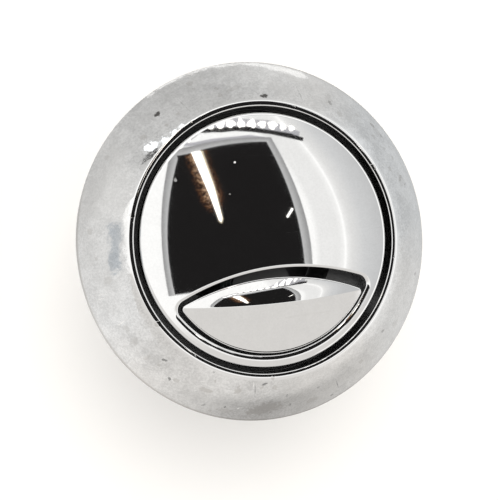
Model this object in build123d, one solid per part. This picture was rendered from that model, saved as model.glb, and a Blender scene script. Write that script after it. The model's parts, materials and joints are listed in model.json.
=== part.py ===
from build123d import *
import os
from math import asin, cos, degrees, radians, sin, sqrt

os.makedirs("parts", exist_ok=True)

# Dual flush push button for a cistern lid, in millimetres.
# z = 0 is the lid's top face, +Z points out of the lid, and the half flush button is on the -Y side.

# Lid that the button is clamped to
lid_thickness = 12.0
lid_gap = 0.4                  # hard pieces stay this far above the lid, so that the seal takes the load

# Bezel
bezel_overhang = 3.8           # outer edge beyond the snap hooks
bezel_edge = 0.9               # upright part of the outer edge
bezel_wall = 1.6
lip_crown_radius = 2.5         # gentle crown on top of the lip
lip_lean = 6.5                 # degrees that the crown falls to each side
lip_inner_round = 0.3          # edge over the well
lip_outer_round = 1.2          # from the crown to the flank
lip_slope = 28.0               # degrees, where the flank runs into the lip
well_diameter = 52.7           # round well that the buttons move in
well_wall = 1.15
hook_count = 6
hook_angle = 12.0              # degrees of arc per hook
hook_thickness = 1.1
hook_catch = 0.4               # overlap under the housing's flange
hook_gap = 0.2

# Housing
seal_thickness = 2.0
seal_width = 3.3
seal_gap = 0.2
flange_lip = 0.6               # flange beyond the seal
flange_thickness = 1.6
flange_chamfer = 0.5
step_wall = 0.95
floor_thickness = 1.4
spigot_step = 0.5              # locating spigot proud of the threaded barrel
spigot_length = 6.0            # below the lid's top face
barrel_diameter = 37.0
barrel_wall = 1.9
barrel_length = 32.0           # below the lid's top face
barrel_chamfer = 0.8
flat_depth = 0.9               # two flats that key the clamp washer
boss_diameter = 5.2
boss_sink = 0.25               # how far a boss runs into the bore's wall
boss_height = 9.5
boss_y = -1.5
pilot_diameter = 2.0
pilot_depth = 7.0
rib_width = 1.0
rib_reach = 1.4                # overlap of a rib with the side of a guide leg
rib_gap = 0.2
rib_floor_gap = 1.0            # above the guide plate

# Buttons
button_travel = 5.0
stop_gap = 0.4                 # left under the rims at the end of the travel
button_gap = 0.95              # between the full flush button and the well
cap_height = 2.5               # crown above the rim's lower edge
crown_rise = 0.4               # crown above the bezel's lip
crown_radius = 420.0
shoulder_round = 0.8
pocket_depth = 0.6             # hollow under the caps
rim_width = 1.5
oval_rim_width = 1.3
edge_round = 0.3

# Pointed oval opening and half flush button
opening_front_margin = 2.5     # rim in front of the opening
opening_back_radius = 46.8
opening_back_y = -5.9
opening_tip_round = 1.9
oval_front_gap = 0.3           # in the middle, wider towards the tips
oval_front_radius = 21.9
oval_back_gap = 1.7
oval_tip_round = 0.9
half_turn = -2.7               # degrees, how far the half flush plunger sits turned about its round stem
oval_crest_rise = 0.2          # crease above the crown of the full flush button
oval_crease_y = -12.7
oval_crest_round = 0.7
oval_front_slope = 8.0         # degrees, flat facet that falls to the front
oval_back_start = 1.0          # degrees, slope of the back facet at the crease
oval_back_radius = 20.0
oval_back_sweep = 35.0         # degrees of the back facet's arc before it is trimmed
oval_bow_radius = 120.0
oval_bow_tilt = 45.0           # degrees, lean of the bow's axis, which bends the crease
oval_edge_round = 0.25

# Carriers
plate_thickness = 1.5
plate_gap = 0.6                # between a carrier plate and the barrel's bore
full_plate_front_y = -0.8
stem_diameter = 9.0
full_collar_gap = 2.9          # between the full flush collar and the bore
collar_margin = 0.35           # beyond the spring
half_collar_gap = 0.9          # between the half flush collar and the bore
collar_thickness = 1.2
collar_gap = 1.0               # below the rims at the end of the travel
peg_diameter = 2.2
peg_gap = 0.05
full_peg_x = 10.0
full_peg_y = 4.0
peg_margin = 2.0               # from the plate's edge to the middle of the rearmost peg
half_peg_x = 6.3
half_peg_margin = 1.6          # from the plate's edge to the middle of a half flush peg
leg_gap = 0.4                  # between a guide leg's outer corner and the bore
leg_thickness = 1.8
leg_y = 2.2
leg_width = 4.8
leg_floor_gap = 2.5            # above the guide plate at the end of the travel
gusset_width = 1.5
gusset_reach = 6.5
gusset_height = 3.3
post_half_width = 4.6
post_gap = 1.0                 # between the post and the bore
post_back_gap = 0.5            # between the post and the full flush button's opening

# Guide plate, springs and clips
spring_length = 12.3           # with the buttons up
spring_wire = 0.9
spring_stem_gap = 0.45
spring_turns = 5
spring_recess = 0.8
recess_gap = 0.45
guide_thickness = 2.5
guide_gap = 0.3
bush_length = 6.0
bush_wall = 1.5
stem_gap = 0.1
screw_hole_diameter = 2.6
screw_gap = 0.05
screw_head_diameter = 4.2
screw_head_height = 1.6
screw_length = 8.0
clip_gap = 0.2
clip_thickness = 0.7
clip_width = 2.5
clip_mouth = 6.2
groove_depth = 0.65
groove_gap = 0.05

# Push rods
stem_tail = 3.1                # below the clip
rod_diameter = 5.2
rod_length = 64.0
rod_engagement = 16.0
rod_gap = 0.1
locknut_across_flats = 10.0
locknut_height = 4.0
foot_diameter = 12.0
foot_base = 4.0
foot_socket = 4.0
foot_neck_wall = 1.5
foot_pad_height = 2.6
foot_chamfer = 0.6

# Clamp washer and backnut
washer_width = 8.25
washer_thickness = 1.6
key_gap = 0.25
barrel_gap = 0.25
nut_face_gap = 0.1
nut_height = 10.4
nut_hub_wall = 3.0
nut_flange_reach = 3.25
nut_flange_height = 2.0
nut_wing_count = 6
nut_wing_width = 5.0
nut_wing_reach = 5.75
nut_wing_round = 1.5

# Levels and radii that follow from the sizes above
well_r = well_diameter / 2
step_r = well_r + step_wall
seal_r = step_r + seal_gap + seal_width
flange_r = seal_r + flange_lip
hook_r = flange_r + hook_gap
bezel_r = hook_r + hook_thickness + bezel_overhang
barrel_r = barrel_diameter / 2
spigot_r = barrel_r + spigot_step
bore_r = barrel_r - barrel_wall
flat_x = barrel_r - flat_depth
stem_r = stem_diameter / 2
spring_r = stem_r + spring_stem_gap + spring_wire / 2
spring_outer_r = spring_r + spring_wire / 2
collar_r = spring_outer_r + collar_margin
full_stem_y = bore_r - collar_r - full_collar_gap
half_stem_y = half_collar_gap + collar_r - bore_r
rod_r = rod_diameter / 2
button_r = well_r - button_gap
opening_front_r = button_r - opening_front_margin
plate_r = bore_r - plate_gap
bush_r = stem_r + stem_gap
floor_top = lid_gap + floor_thickness
seat_z = seal_thickness + flange_thickness
rim_z = floor_top + stop_gap + button_travel
crown_z = rim_z + cap_height
lip_z = crown_z - crown_rise
ceiling_z = rim_z + pocket_depth
oval_crest_z = crown_z + oval_crest_rise
plate_z = ceiling_z - plate_thickness
collar_top = rim_z - button_travel - collar_gap
collar_z = collar_top - collar_thickness
recess_z = collar_z - spring_length
guide_top = recess_z + spring_recess
guide_z = guide_top - guide_thickness
bush_z = guide_z - bush_length
clip_top = bush_z - clip_gap
clip_z = clip_top - clip_thickness
stem_z = clip_z - stem_tail
rod_top = stem_z + rod_engagement
rod_z = rod_top - rod_length
washer_z = -lid_thickness - washer_thickness
nut_top = washer_z - nut_face_gap
nut_z = nut_top - nut_height
boss_x = bore_r + boss_sink - boss_diameter / 2
leg_outer_x = sqrt((bore_r - leg_gap) ** 2 - (leg_y + leg_width) ** 2)
full_pegs = [(-full_peg_x, full_peg_y), (full_peg_x, full_peg_y), (0, plate_r - peg_margin)]
half_peg_y = -sqrt((plate_r - half_peg_margin) ** 2 - half_peg_x**2)
half_pegs = [(-half_peg_x, half_peg_y), (half_peg_x, half_peg_y)]


def disc(radius, bottom, top, x=0.0, y=0.0):
    """Upright cylinder between two levels."""
    return Pos(x, y, bottom) * Cylinder(radius, top - bottom, align=(Align.CENTER, Align.CENTER, Align.MIN))


def block(x0, x1, y0, y1, bottom, top):
    """Box between two corners."""
    box = Box(x1 - x0, y1 - y0, top - bottom, align=(Align.MIN, Align.MIN, Align.MIN))
    return Pos(x0, y0, bottom) * box


def turned(points, angle=360.0):
    """Solid turned about Z from a closed outline of (radius, height) points."""
    return revolve(Plane.XZ * make_face(Polyline(*points, close=True)), Axis.Z, angle)


def prism(outline, bottom, top):
    """Flat outline raised between two levels."""
    return extrude(Pos(0, 0, bottom) * outline, top - bottom, dir=(0, 0, 1))


def top_wall_edges(cap):
    """Edges where a cap's upright walls meet its upper faces."""
    walls = cap.faces().filter_by(lambda face: abs(face.normal_at().Z) < 0.1).edges()
    upper = cap.faces().filter_by(lambda face: face.normal_at().Z > 0.9).edges()
    return [edge for edge in upper if edge in walls]


def pointed_oval(front_y, front_r, back_r, tip_round):
    """Outline between a front arc, given by its foremost point and radius, and a flatter back arc."""
    front = Pos(0, front_y + front_r) * Circle(front_r)
    back = Pos(0, opening_back_y - opening_back_radius) * Circle(back_r)
    oval = front & back
    return fillet(oval.vertices(), tip_round)


def opening_outline(grow):
    """Outline of the full flush button's opening, or of what lies round it."""
    front_r = opening_front_r + grow
    return pointed_oval(-front_r, front_r, opening_back_radius + grow, opening_tip_round)


def oval_button_outline(inset):
    """Outline of the half flush button, or of what lies inside it by an inset."""
    front_y = oval_front_gap + inset - opening_front_r
    return pointed_oval(
        front_y, oval_front_radius - inset, opening_back_radius - oval_back_gap - inset, oval_tip_round
    )


def seated(solid):
    """Half flush piece as it sits, turned about its stem."""
    return Pos(0, half_stem_y) * Rot(0, 0, half_turn) * Pos(0, -half_stem_y) * solid


def bezel():
    edge_top = lid_gap + bezel_edge
    lean = radians(lip_lean)
    slope = radians(lip_slope)
    normal = Vector(sin(slope), cos(slope))
    crown_x = well_r + lip_inner_round + (lip_crown_radius - lip_inner_round) * sin(lean)
    crown_centre = Vector(crown_x, lip_z - lip_crown_radius)
    inner_centre = crown_centre + Vector(-sin(lean), cos(lean)) * (lip_crown_radius - lip_inner_round)
    outer_centre = crown_centre + Vector(sin(lean), cos(lean)) * (lip_crown_radius - lip_outer_round)
    lip_end = outer_centre + normal * lip_outer_round
    edge = Vector(bezel_r, edge_top)
    chord = edge - lip_end
    flank_r = -chord.dot(chord) / (2 * chord.dot(normal))
    flank_centre = lip_end - normal * flank_r
    # The hollow side follows the flank one wall further in.
    hollow_r = flank_r - bezel_wall
    wall_r = well_r + well_wall
    hollow_edge = flank_centre.X + sqrt(hollow_r**2 - (lid_gap - flank_centre.Y) ** 2)
    hollow_top = flank_centre.Y + sqrt(hollow_r**2 - (wall_r - flank_centre.X) ** 2)
    middle = Vector((hollow_edge + wall_r) / 2, (lid_gap + hollow_top) / 2) - flank_centre
    section = make_face(
        [
            Line((well_r, seat_z), (well_r, inner_centre.Y)),
            CenterArc(inner_centre, lip_inner_round, 180, lip_lean - 90),
            CenterArc(crown_centre, lip_crown_radius, 90 + lip_lean, -2 * lip_lean),
            CenterArc(outer_centre, lip_outer_round, 90 - lip_lean, lip_lean - lip_slope),
            TangentArc(lip_end, edge, tangent=(cos(slope), -sin(slope))),
            Line((bezel_r, edge_top), (bezel_r, lid_gap)),
            Line((bezel_r, lid_gap), (hollow_edge, lid_gap)),
            ThreePointArc(
                (hollow_edge, lid_gap),
                flank_centre + middle.normalized() * hollow_r,
                (wall_r, hollow_top),
            ),
            Line((wall_r, hollow_top), (wall_r, seat_z)),
            Line((wall_r, seat_z), (well_r, seat_z)),
        ]
    )
    ring = revolve(Plane.XZ * section, Axis.Z)
    return ring + bezel_hooks(flank_centre, hollow_r)


def bezel_hooks(flank_centre, hollow_r):
    """Snap hooks that hang from the hollow side and catch under the housing's flange."""
    outer = hook_r + hook_thickness
    catch_r = flange_r - hook_catch
    catch_top = seal_thickness - hook_gap
    tip = lid_gap + hook_gap

    def root(radius):
        rise = sqrt(hollow_r**2 - (radius - flank_centre.X) ** 2)
        return flank_centre.Y + rise + bezel_wall / 2

    hook = turned(
        [
            (hook_r, root(hook_r)),
            (outer, root(outer)),
            (outer, tip),
            (hook_r, tip),
            (catch_r, (tip + catch_top) / 2),
            (catch_r, catch_top),
            (hook_r, catch_top),
        ],
        hook_angle,
    )
    return [Rot(0, 0, k * 360 / hook_count) * hook for k in range(hook_count)]


def housing():
    bottom = -barrel_length
    body = turned(
        [
            (bore_r, bottom),
            (bore_r, floor_top),
            (well_r, floor_top),
            (well_r, seat_z),
            (flange_r - flange_chamfer, seat_z),
            (flange_r, seat_z - flange_chamfer),
            (flange_r, seal_thickness),
            (step_r, seal_thickness),
            (step_r, lid_gap),
            (spigot_r, lid_gap),
            (spigot_r, -spigot_length),
            (barrel_r, -spigot_length),
            (barrel_r, bottom + barrel_chamfer),
            (barrel_r - barrel_chamfer, bottom),
        ]
    )
    flat = block(flat_x, barrel_diameter, -barrel_r, barrel_r, bottom, -spigot_length)
    body -= [flat, mirror(flat, Plane.YZ)]
    inside = disc((bore_r + barrel_r) / 2, bottom, floor_top)
    for side in (-1, 1):
        boss = disc(boss_diameter / 2, guide_top, guide_top + boss_height, side * boss_x, boss_y)
        pilot = disc(pilot_diameter / 2, guide_top, guide_top + pilot_depth, side * boss_x, boss_y)
        body += (boss & inside)
        body -= pilot
    return body + leg_ribs()


def leg_ribs():
    """Ribs on the bore that steady the full flush carrier's legs."""
    reach_x = leg_outer_x - rib_reach
    ribs = []
    keep = disc((bore_r + barrel_r) / 2, -barrel_length, floor_top)
    for y0 in (leg_y - rib_gap - rib_width, leg_y + leg_width + rib_gap):
        rib = block(reach_x, barrel_r, y0, y0 + rib_width, guide_top + rib_floor_gap, lid_gap)
        rib &= keep
        ribs += [rib, mirror(rib, Plane.YZ)]
    return ribs


def lid_seal():
    return disc(seal_r, 0, seal_thickness) - disc(seal_r - seal_width, 0, seal_thickness)


def guide_plate():
    plate = disc(bore_r - guide_gap, guide_z, guide_top)
    for y in (full_stem_y, half_stem_y):
        plate += disc(bush_r + bush_wall, bush_z, guide_z, 0, y)
        plate -= disc(bush_r, bush_z, guide_top, 0, y)
        plate -= disc(spring_outer_r + recess_gap, recess_z, guide_top, 0, y)
    for side in (-1, 1):
        plate -= disc(screw_hole_diameter / 2, guide_z, guide_top, side * boss_x, boss_y)
    return plate


def guide_plate_screws():
    screws = []
    for side in (-1, 1):
        x = side * boss_x
        shank_r = pilot_diameter / 2 - screw_gap
        shank = disc(shank_r, guide_z, guide_z + screw_length, x, boss_y)
        head = disc(screw_head_diameter / 2, guide_z - screw_head_height, guide_z, x, boss_y)
        screws.append(shank + head)
    return Compound(children=screws)


def return_spring(y):
    """Square cut wire wound between the guide plate's recess and a carrier's collar."""
    rise = spring_length - spring_wire
    wire_r = spring_wire / 2
    path = Helix(rise / spring_turns, rise, spring_r)
    section = Plane(path @ 0, x_dir=(1, 0, 0), z_dir=path % 0) * RegularPolygon(wire_r, 4, rotation=0)
    return Pos(0, y, recess_z + wire_r) * sweep(section, path, is_frenet=True)


def full_flush_button():
    centre_z = crown_z - crown_radius
    shoulder_x = button_r - shoulder_round
    shoulder_z = centre_z + sqrt((crown_radius - shoulder_round) ** 2 - shoulder_x**2)
    outward = Vector(shoulder_x, shoulder_z - centre_z).normalized()
    crown_edge = Vector(0, centre_z) + outward * crown_radius
    half_way = asin(crown_edge.X / crown_radius) / 2
    corner = (outward + Vector(1, 0)).normalized() * shoulder_round
    section = make_face(
        [
            Line((0, rim_z), (0, crown_z)),
            ThreePointArc(
                (0, crown_z),
                (crown_radius * sin(half_way), centre_z + crown_radius * cos(half_way)),
                crown_edge,
            ),
            ThreePointArc(crown_edge, Vector(shoulder_x, shoulder_z) + corner, (button_r, shoulder_z)),
            Line((button_r, shoulder_z), (button_r, rim_z)),
            Line((button_r, rim_z), (0, rim_z)),
        ]
    )
    cap = revolve(Plane.XZ * section, Axis.Z)
    opening = prism(opening_outline(0), rim_z, crown_z)
    rim = prism(opening_outline(oval_rim_width), rim_z, ceiling_z)
    pocket = disc(button_r - rim_width, rim_z, ceiling_z) - rim
    cap -= [opening, pocket]
    cap = fillet(top_wall_edges(cap), edge_round)
    return cap + [disc(peg_diameter / 2, plate_z, ceiling_z, x, y) for x, y in full_pegs]


def stem(y):
    """Stem with its spring collar, clip groove and rod bore."""
    body = disc(stem_r, stem_z, collar_top, 0, y) + disc(collar_r, collar_z, collar_top, 0, y)
    groove = disc(stem_r, clip_z - groove_gap, clip_top + groove_gap, 0, y)
    groove -= disc(stem_r - groove_depth, clip_z - groove_gap, clip_top + groove_gap, 0, y)
    return body - groove


def rod_bore(y):
    return disc(rod_r + rod_gap, stem_z, rod_top, 0, y)


def full_flush_carrier():
    plate = disc(plate_r, plate_z, ceiling_z)
    plate &= block(-plate_r, plate_r, full_plate_front_y, plate_r, plate_z, ceiling_z)
    column = disc(stem_r, collar_top, plate_z, 0, full_stem_y)
    body = plate + column + stem(full_stem_y)
    gusset_x = stem_r + gusset_reach
    gusset = Polyline(
        (0, plate_z - gusset_height), (gusset_x, plate_z), (-gusset_x, plate_z), close=True
    )
    gusset_plane = Plane((0, full_stem_y, 0), x_dir=(1, 0, 0), z_dir=(0, -1, 0))
    body += extrude(gusset_plane * make_face(gusset), gusset_width / 2, both=True)
    leg_z = guide_top + button_travel + leg_floor_gap
    leg = block(leg_outer_x - leg_thickness, leg_outer_x, leg_y, leg_y + leg_width, leg_z, plate_z)
    body += [leg, mirror(leg, Plane.YZ)]
    body -= rod_bore(full_stem_y)
    return body - [disc(peg_diameter / 2 + peg_gap, plate_z, ceiling_z, x, y) for x, y in full_pegs]


def oval_top():
    """Solid under the crease's two facets, bowed across the button."""
    below = rim_z - cap_height
    crest = CenterArc(
        (oval_crease_y, oval_crest_z - oval_crest_round),
        oval_crest_round,
        90 + oval_front_slope,
        -oval_front_slope - oval_back_start,
    )
    slope = radians(oval_front_slope)
    front = crest @ 0 - Vector(cos(slope), sin(slope)) * opening_front_r
    start = radians(oval_back_start)
    back_centre = crest @ 1 - Vector(sin(start), cos(start)) * oval_back_radius
    back = CenterArc(
        (back_centre.X, back_centre.Y), oval_back_radius, 90 - oval_back_start, -oval_back_sweep
    )
    end = back @ 1
    section = make_face(
        [
            Line(front, crest @ 0),
            crest,
            back,
            Line(end, (end.X, below)),
            Line((end.X, below), (front.X, below)),
            Line((front.X, below), front),
        ]
    )
    tilt = radians(oval_bow_tilt)
    bow_y = oval_crease_y + oval_bow_radius * sin(tilt)
    bow_z = oval_crest_z - oval_bow_radius * cos(tilt)
    bow = Axis((0, bow_y, bow_z), (0, cos(tilt), sin(tilt)))
    half_angle = degrees(asin(opening_front_r / oval_bow_radius))
    face = (Plane.YZ * section).rotate(bow, -half_angle)
    return revolve(face, bow, 2 * half_angle)


def half_flush_button():
    cap = prism(oval_button_outline(0), rim_z, oval_crest_z + oval_crest_round) & oval_top()
    cap = fillet(top_wall_edges(cap), oval_edge_round)
    cap -= prism(oval_button_outline(oval_rim_width), rim_z, ceiling_z)
    return cap + [disc(peg_diameter / 2, plate_z, ceiling_z, x, y) for x, y in half_pegs]


def half_flush_carrier():
    plate = prism(oval_button_outline(oval_rim_width + peg_gap), plate_z, ceiling_z)
    plate &= disc(plate_r, plate_z, ceiling_z)
    post_r = bore_r - post_gap
    post_back = opening_back_y - oval_back_gap - post_back_gap
    post = block(-post_half_width, post_half_width, -plate_r, post_back, collar_z, plate_z)
    post &= disc(post_r, collar_z, plate_z)
    body = plate + post + stem(half_stem_y)
    body -= rod_bore(half_stem_y)
    return body - [disc(peg_diameter / 2 + peg_gap, plate_z, ceiling_z, x, y) for x, y in half_pegs]


def retaining_clip(y):
    """Open ring that snaps into a stem's groove."""
    inner = stem_r - groove_depth + groove_gap
    ring = disc(inner + clip_width, clip_z, clip_top, 0, y) - disc(inner, clip_z, clip_top, 0, y)
    mouth = block(0, inner + clip_width, y - clip_mouth / 2, y + clip_mouth / 2, clip_z, clip_top)
    return ring - mouth


def push_rod(y):
    return disc(rod_r, rod_z, rod_top, 0, y)


def rod_locknut(y):
    hexagon = Pos(0, y) * RegularPolygon(locknut_across_flats / 2, 6, major_radius=False)
    return prism(hexagon, stem_z - locknut_height, stem_z) - disc(
        rod_r + rod_gap, stem_z - locknut_height, stem_z, 0, y
    )


def rod_foot(y):
    foot_r = foot_diameter / 2
    socket_r = rod_r + rod_gap
    neck_r = socket_r + foot_neck_wall
    bottom = rod_z - foot_base
    pad_top = bottom + foot_pad_height
    return Pos(0, y, 0) * turned(
        [
            (0, bottom),
            (foot_r - foot_chamfer, bottom),
            (foot_r, bottom + foot_chamfer),
            (foot_r, pad_top),
            (neck_r, rod_z),
            (neck_r, rod_z + foot_socket),
            (socket_r, rod_z + foot_socket),
            (socket_r, rod_z),
            (0, rod_z),
        ]
    )


def clamp_washer():
    hole_r = barrel_r + barrel_gap
    ring = disc(hole_r + washer_width, washer_z, -lid_thickness)
    keyed_x = flat_x + key_gap
    hole = disc(hole_r, washer_z, -lid_thickness)
    hole &= block(-keyed_x, keyed_x, -hole_r, hole_r, washer_z, -lid_thickness)
    return ring - hole


def backnut():
    bore = barrel_r + barrel_gap
    hub_r = bore + nut_hub_wall
    body = disc(hub_r, nut_z, nut_top)
    body += disc(hub_r + nut_flange_reach, nut_top - nut_flange_height, nut_top)
    wing_length = nut_wing_reach + nut_hub_wall / 2
    wing_outline = RectangleRounded(wing_length, nut_wing_width, nut_wing_round)
    wing = Pos(hub_r + nut_wing_reach - wing_length / 2, 0) * wing_outline
    for k in range(nut_wing_count):
        body += prism(Rot(0, 0, k * 360 / nut_wing_count) * wing, nut_z, nut_top)
    return body - disc(bore, nut_z, nut_top)


nodes = {
    "bezel": bezel(),
    "housing": housing(),
    "lid_seal": lid_seal(),
    "guide_plate": guide_plate(),
    "guide_plate_screws": guide_plate_screws(),
    "full_flush_button": full_flush_button(),
    "full_flush_carrier": full_flush_carrier(),
    "half_flush_button": seated(half_flush_button()),
    "half_flush_carrier": seated(half_flush_carrier()),
    "clamp_washer": clamp_washer(),
    "backnut": backnut(),
}
for name, stem_y in (("full", full_stem_y), ("half", half_stem_y)):
    nodes[f"{name}_return_spring"] = return_spring(stem_y)
    nodes[f"{name}_retaining_clip"] = retaining_clip(stem_y)
    nodes[f"{name}_push_rod"] = push_rod(stem_y)
    nodes[f"{name}_rod_locknut"] = rod_locknut(stem_y)
    nodes[f"{name}_rod_foot"] = rod_foot(stem_y)

for name, solid in nodes.items():
    export_step(solid, f"parts/{name}.step")
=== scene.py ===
import json
from math import acos, asin, atan2, cos, pi, radians, sin, sqrt, tan

import bmesh
import bpy
from bpy.props import FloatProperty, FloatVectorProperty, IntProperty, PointerProperty
from mathutils import Matrix, Vector

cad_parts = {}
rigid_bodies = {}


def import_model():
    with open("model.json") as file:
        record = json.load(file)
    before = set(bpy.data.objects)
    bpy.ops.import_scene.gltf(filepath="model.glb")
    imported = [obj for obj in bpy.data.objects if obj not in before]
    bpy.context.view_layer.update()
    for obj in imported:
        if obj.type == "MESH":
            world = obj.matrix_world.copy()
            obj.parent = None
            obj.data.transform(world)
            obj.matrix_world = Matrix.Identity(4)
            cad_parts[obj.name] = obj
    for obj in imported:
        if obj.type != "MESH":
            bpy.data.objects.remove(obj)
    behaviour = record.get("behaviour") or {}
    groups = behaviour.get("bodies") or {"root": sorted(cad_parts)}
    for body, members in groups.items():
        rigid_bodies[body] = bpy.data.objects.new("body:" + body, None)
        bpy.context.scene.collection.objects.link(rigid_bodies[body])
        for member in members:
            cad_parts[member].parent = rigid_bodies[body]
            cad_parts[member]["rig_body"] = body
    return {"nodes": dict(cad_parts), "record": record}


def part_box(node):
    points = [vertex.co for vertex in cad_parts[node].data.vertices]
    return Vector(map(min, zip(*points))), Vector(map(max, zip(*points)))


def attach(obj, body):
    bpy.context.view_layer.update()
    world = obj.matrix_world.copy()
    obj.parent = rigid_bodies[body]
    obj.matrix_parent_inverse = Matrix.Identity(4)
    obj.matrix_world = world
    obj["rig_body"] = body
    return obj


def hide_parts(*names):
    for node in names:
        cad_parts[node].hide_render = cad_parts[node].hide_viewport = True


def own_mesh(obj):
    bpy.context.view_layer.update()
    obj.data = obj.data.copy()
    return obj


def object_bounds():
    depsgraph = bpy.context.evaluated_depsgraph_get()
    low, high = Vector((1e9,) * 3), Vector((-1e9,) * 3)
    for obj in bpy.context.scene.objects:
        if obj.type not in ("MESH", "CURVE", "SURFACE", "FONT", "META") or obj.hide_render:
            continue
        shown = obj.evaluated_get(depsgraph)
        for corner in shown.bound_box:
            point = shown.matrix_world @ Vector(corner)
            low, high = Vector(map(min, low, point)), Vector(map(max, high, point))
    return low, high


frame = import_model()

bl_info = {
    "name": "Cistern push button",
    "version": (1, 0, 0),
    "blender": (4, 5, 0),
    "location": "View3D > Sidebar > Push button",
    "description": "Dresses a dual flush push button in chrome, moulded plastic, rubber and steel",
    "category": "Object",
}

MM = 0.001
CAD_BOX = [list(corner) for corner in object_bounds()]
BEZEL_LOW, BEZEL_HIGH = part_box("bezel")
FULL_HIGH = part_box("full_flush_button")[1]
HALF_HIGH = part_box("half_flush_button")[1]
HOUSING_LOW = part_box("housing")[0]
SEAL_LOW, SEAL_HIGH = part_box("lid_seal")
NUT_LOW, NUT_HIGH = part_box("backnut")
SCREWS_LOW, SCREWS_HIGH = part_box("guide_plate_screws")
FLOOR_HEIGHT = CAD_BOX[0][2]


# Sizes and colours that a user would change

def length(name, description, millimetres):
    """Length property with its default in millimetres."""
    return FloatProperty(
        name=name, description=description, default=millimetres * MM, unit="LENGTH", precision=5
    )


def angle(name, description, degrees):
    """Angle property with its default in degrees."""
    return FloatProperty(name=name, description=description, default=radians(degrees), unit="ROTATION")


def amount(name, description, default):
    """Property that is a plain number."""
    return FloatProperty(name=name, description=description, default=default, min=0)


def number(name, description, default):
    """Property that counts pieces."""
    return IntProperty(name=name, description=description, default=default, min=1)


def vector(name, description, default, subtype):
    """Place or direction property."""
    return FloatVectorProperty(
        name=name, description=description, default=default, size=3, subtype=subtype, precision=5
    )


def colour(name, description, red, green, blue):
    """Colour property."""
    return FloatVectorProperty(
        name=name, description=description, default=(red, green, blue), size=3, subtype="COLOR", min=0, max=1
    )


class CoverSizes(bpy.types.PropertyGroup):
    """Sizes of the chromed cover ring."""

    outer_radius: length("Outer radius", "Cover's outer edge", BEZEL_HIGH.x / MM)
    well_radius: length("Well radius", "Round well that the buttons move in", 26.44)
    well_wall: length("Well wall", "Thickness of the well's wall", 1.0)
    seat_height: length("Seat height", "Lower end of the well's wall", 3.6)
    lip_crown_radius: length("Lip crown radius", "Gentle crown on top of the lip", 4.8)
    lip_lean: angle("Lip lean", "How far the crown falls towards the well", 7.8)
    lip_outer_lean: angle("Lip outer lean", "How far the crown falls towards the flank", 1.4)
    lip_inner_round: length("Lip inner round", "Edge over the well", 0.18)
    lip_outer_round: length("Lip outer round", "From the crown to the flank", 0.5)
    lip_slope: angle("Lip slope", "Slope where the flank leaves the lip", 28.0)
    edge_height: length("Edge height", "Upright part of the outer edge", 0.9)
    edge_round: length("Edge round", "Round over the outer edge", 0.3)
    wall: length("Wall", "Thickness of the flank", 1.6)
    hook_count: number("Hooks", "Snap hooks under the cover", 6)
    hook_angle: angle("Hook angle", "Arc that one hook takes", 12.0)
    hook_radius: length("Hook radius", "Inner face of a hook", 31.6)
    hook_thickness: length("Hook thickness", "Wall of a hook", 1.1)
    hook_catch: length("Hook catch", "How far a hook reaches under the flange", 0.6)


class ButtonSizes(bpy.types.PropertyGroup):
    """Sizes of the two chromed buttons."""

    crown_radius: length("Crown radius", "Radius of the full flush button's dome", 420.0)
    cap_height: length("Cap height", "Dome above the caps' lower rims", 2.5)
    shoulder_round: length("Shoulder round", "Round at the dome's edge", 0.8)
    rim_width: length("Rim width", "Rim under the dome's edge", 1.5)
    oval_rim_width: length("Oval rim width", "Rim along the oval edges", 1.3)
    pocket_depth: length("Pocket depth", "Hollow under the caps", 0.6)
    front_radius: length("Opening front radius", "Front arc of the pointed oval, about the axis", 22.9)
    back_radius: length("Opening back radius", "Flatter back arc of the pointed oval", 46.8)
    back_edge: length("Opening back edge", "Rearmost point of the pointed oval, on Y", -5.9)
    opening_tip_round: length("Opening tip round", "Round at the opening's two tips", 1.9)
    opening_edge_round: length("Opening edge round", "Round along the opening's upper edge", 0.22)
    opening_roll_radius: length("Opening roll radius", "Roll from the dome to that round, in front", 4.5)
    opening_back_roll: length("Opening back roll", "The same roll along the back edge", 2.6)
    opening_roll_tilt: angle("Opening roll tilt", "Slope where the roll meets the round", 10.0)
    oval_front_radius: length("Oval front radius", "Front arc of the half flush button", 21.9)
    front_gap: length("Front gap", "Gap in front of the half flush button, in the middle", 0.3)
    back_gap: length("Back gap", "Gap behind the half flush button", 1.7)
    oval_tip_round: length("Oval tip round", "Round at the half flush button's tips", 0.9)
    oval_edge_round: length("Oval edge round", "Round along the half flush button's edge", 0.25)
    crease: length("Crease", "Place of the crease on Y", -12.7)
    crest_round: length("Crest round", "Radius over the crease", 2.0)
    front_slope: angle("Front slope", "Fall of the front facet", 8.0)
    back_start: angle("Back start", "Slope of the back facet at the crease", 1.0)
    back_facet_radius: length("Back facet radius", "Bend of the back facet behind the crease", 26.0)
    back_bend: angle("Back bend", "Slope at which that bend runs out", 8.1)
    back_run_radius: length("Back run radius", "Nearly flat rest of the back facet", 260.0)
    back_twist: angle("Back twist", "Twist of the back facet over ten millimetres across", 2.0)
    twist_place: length("Twist place", "Place on X where that twist is nothing", 3.4)
    twist_start: length("Twist start", "Run behind the crease over which the twist sets in", 0.5)
    bow_radius: length("Bow radius", "Bow of both facets across the button", 120.0)
    bow_tilt: angle("Bow tilt", "Lean of the bow's axis, which bends the crease", 45.0)
    half_turn: angle("Half flush turn", "How far the half flush button sits turned about its stem", -2.7)
    half_stem: length("Half flush stem", "Place of the half flush stem on Y", -9.5)


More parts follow.
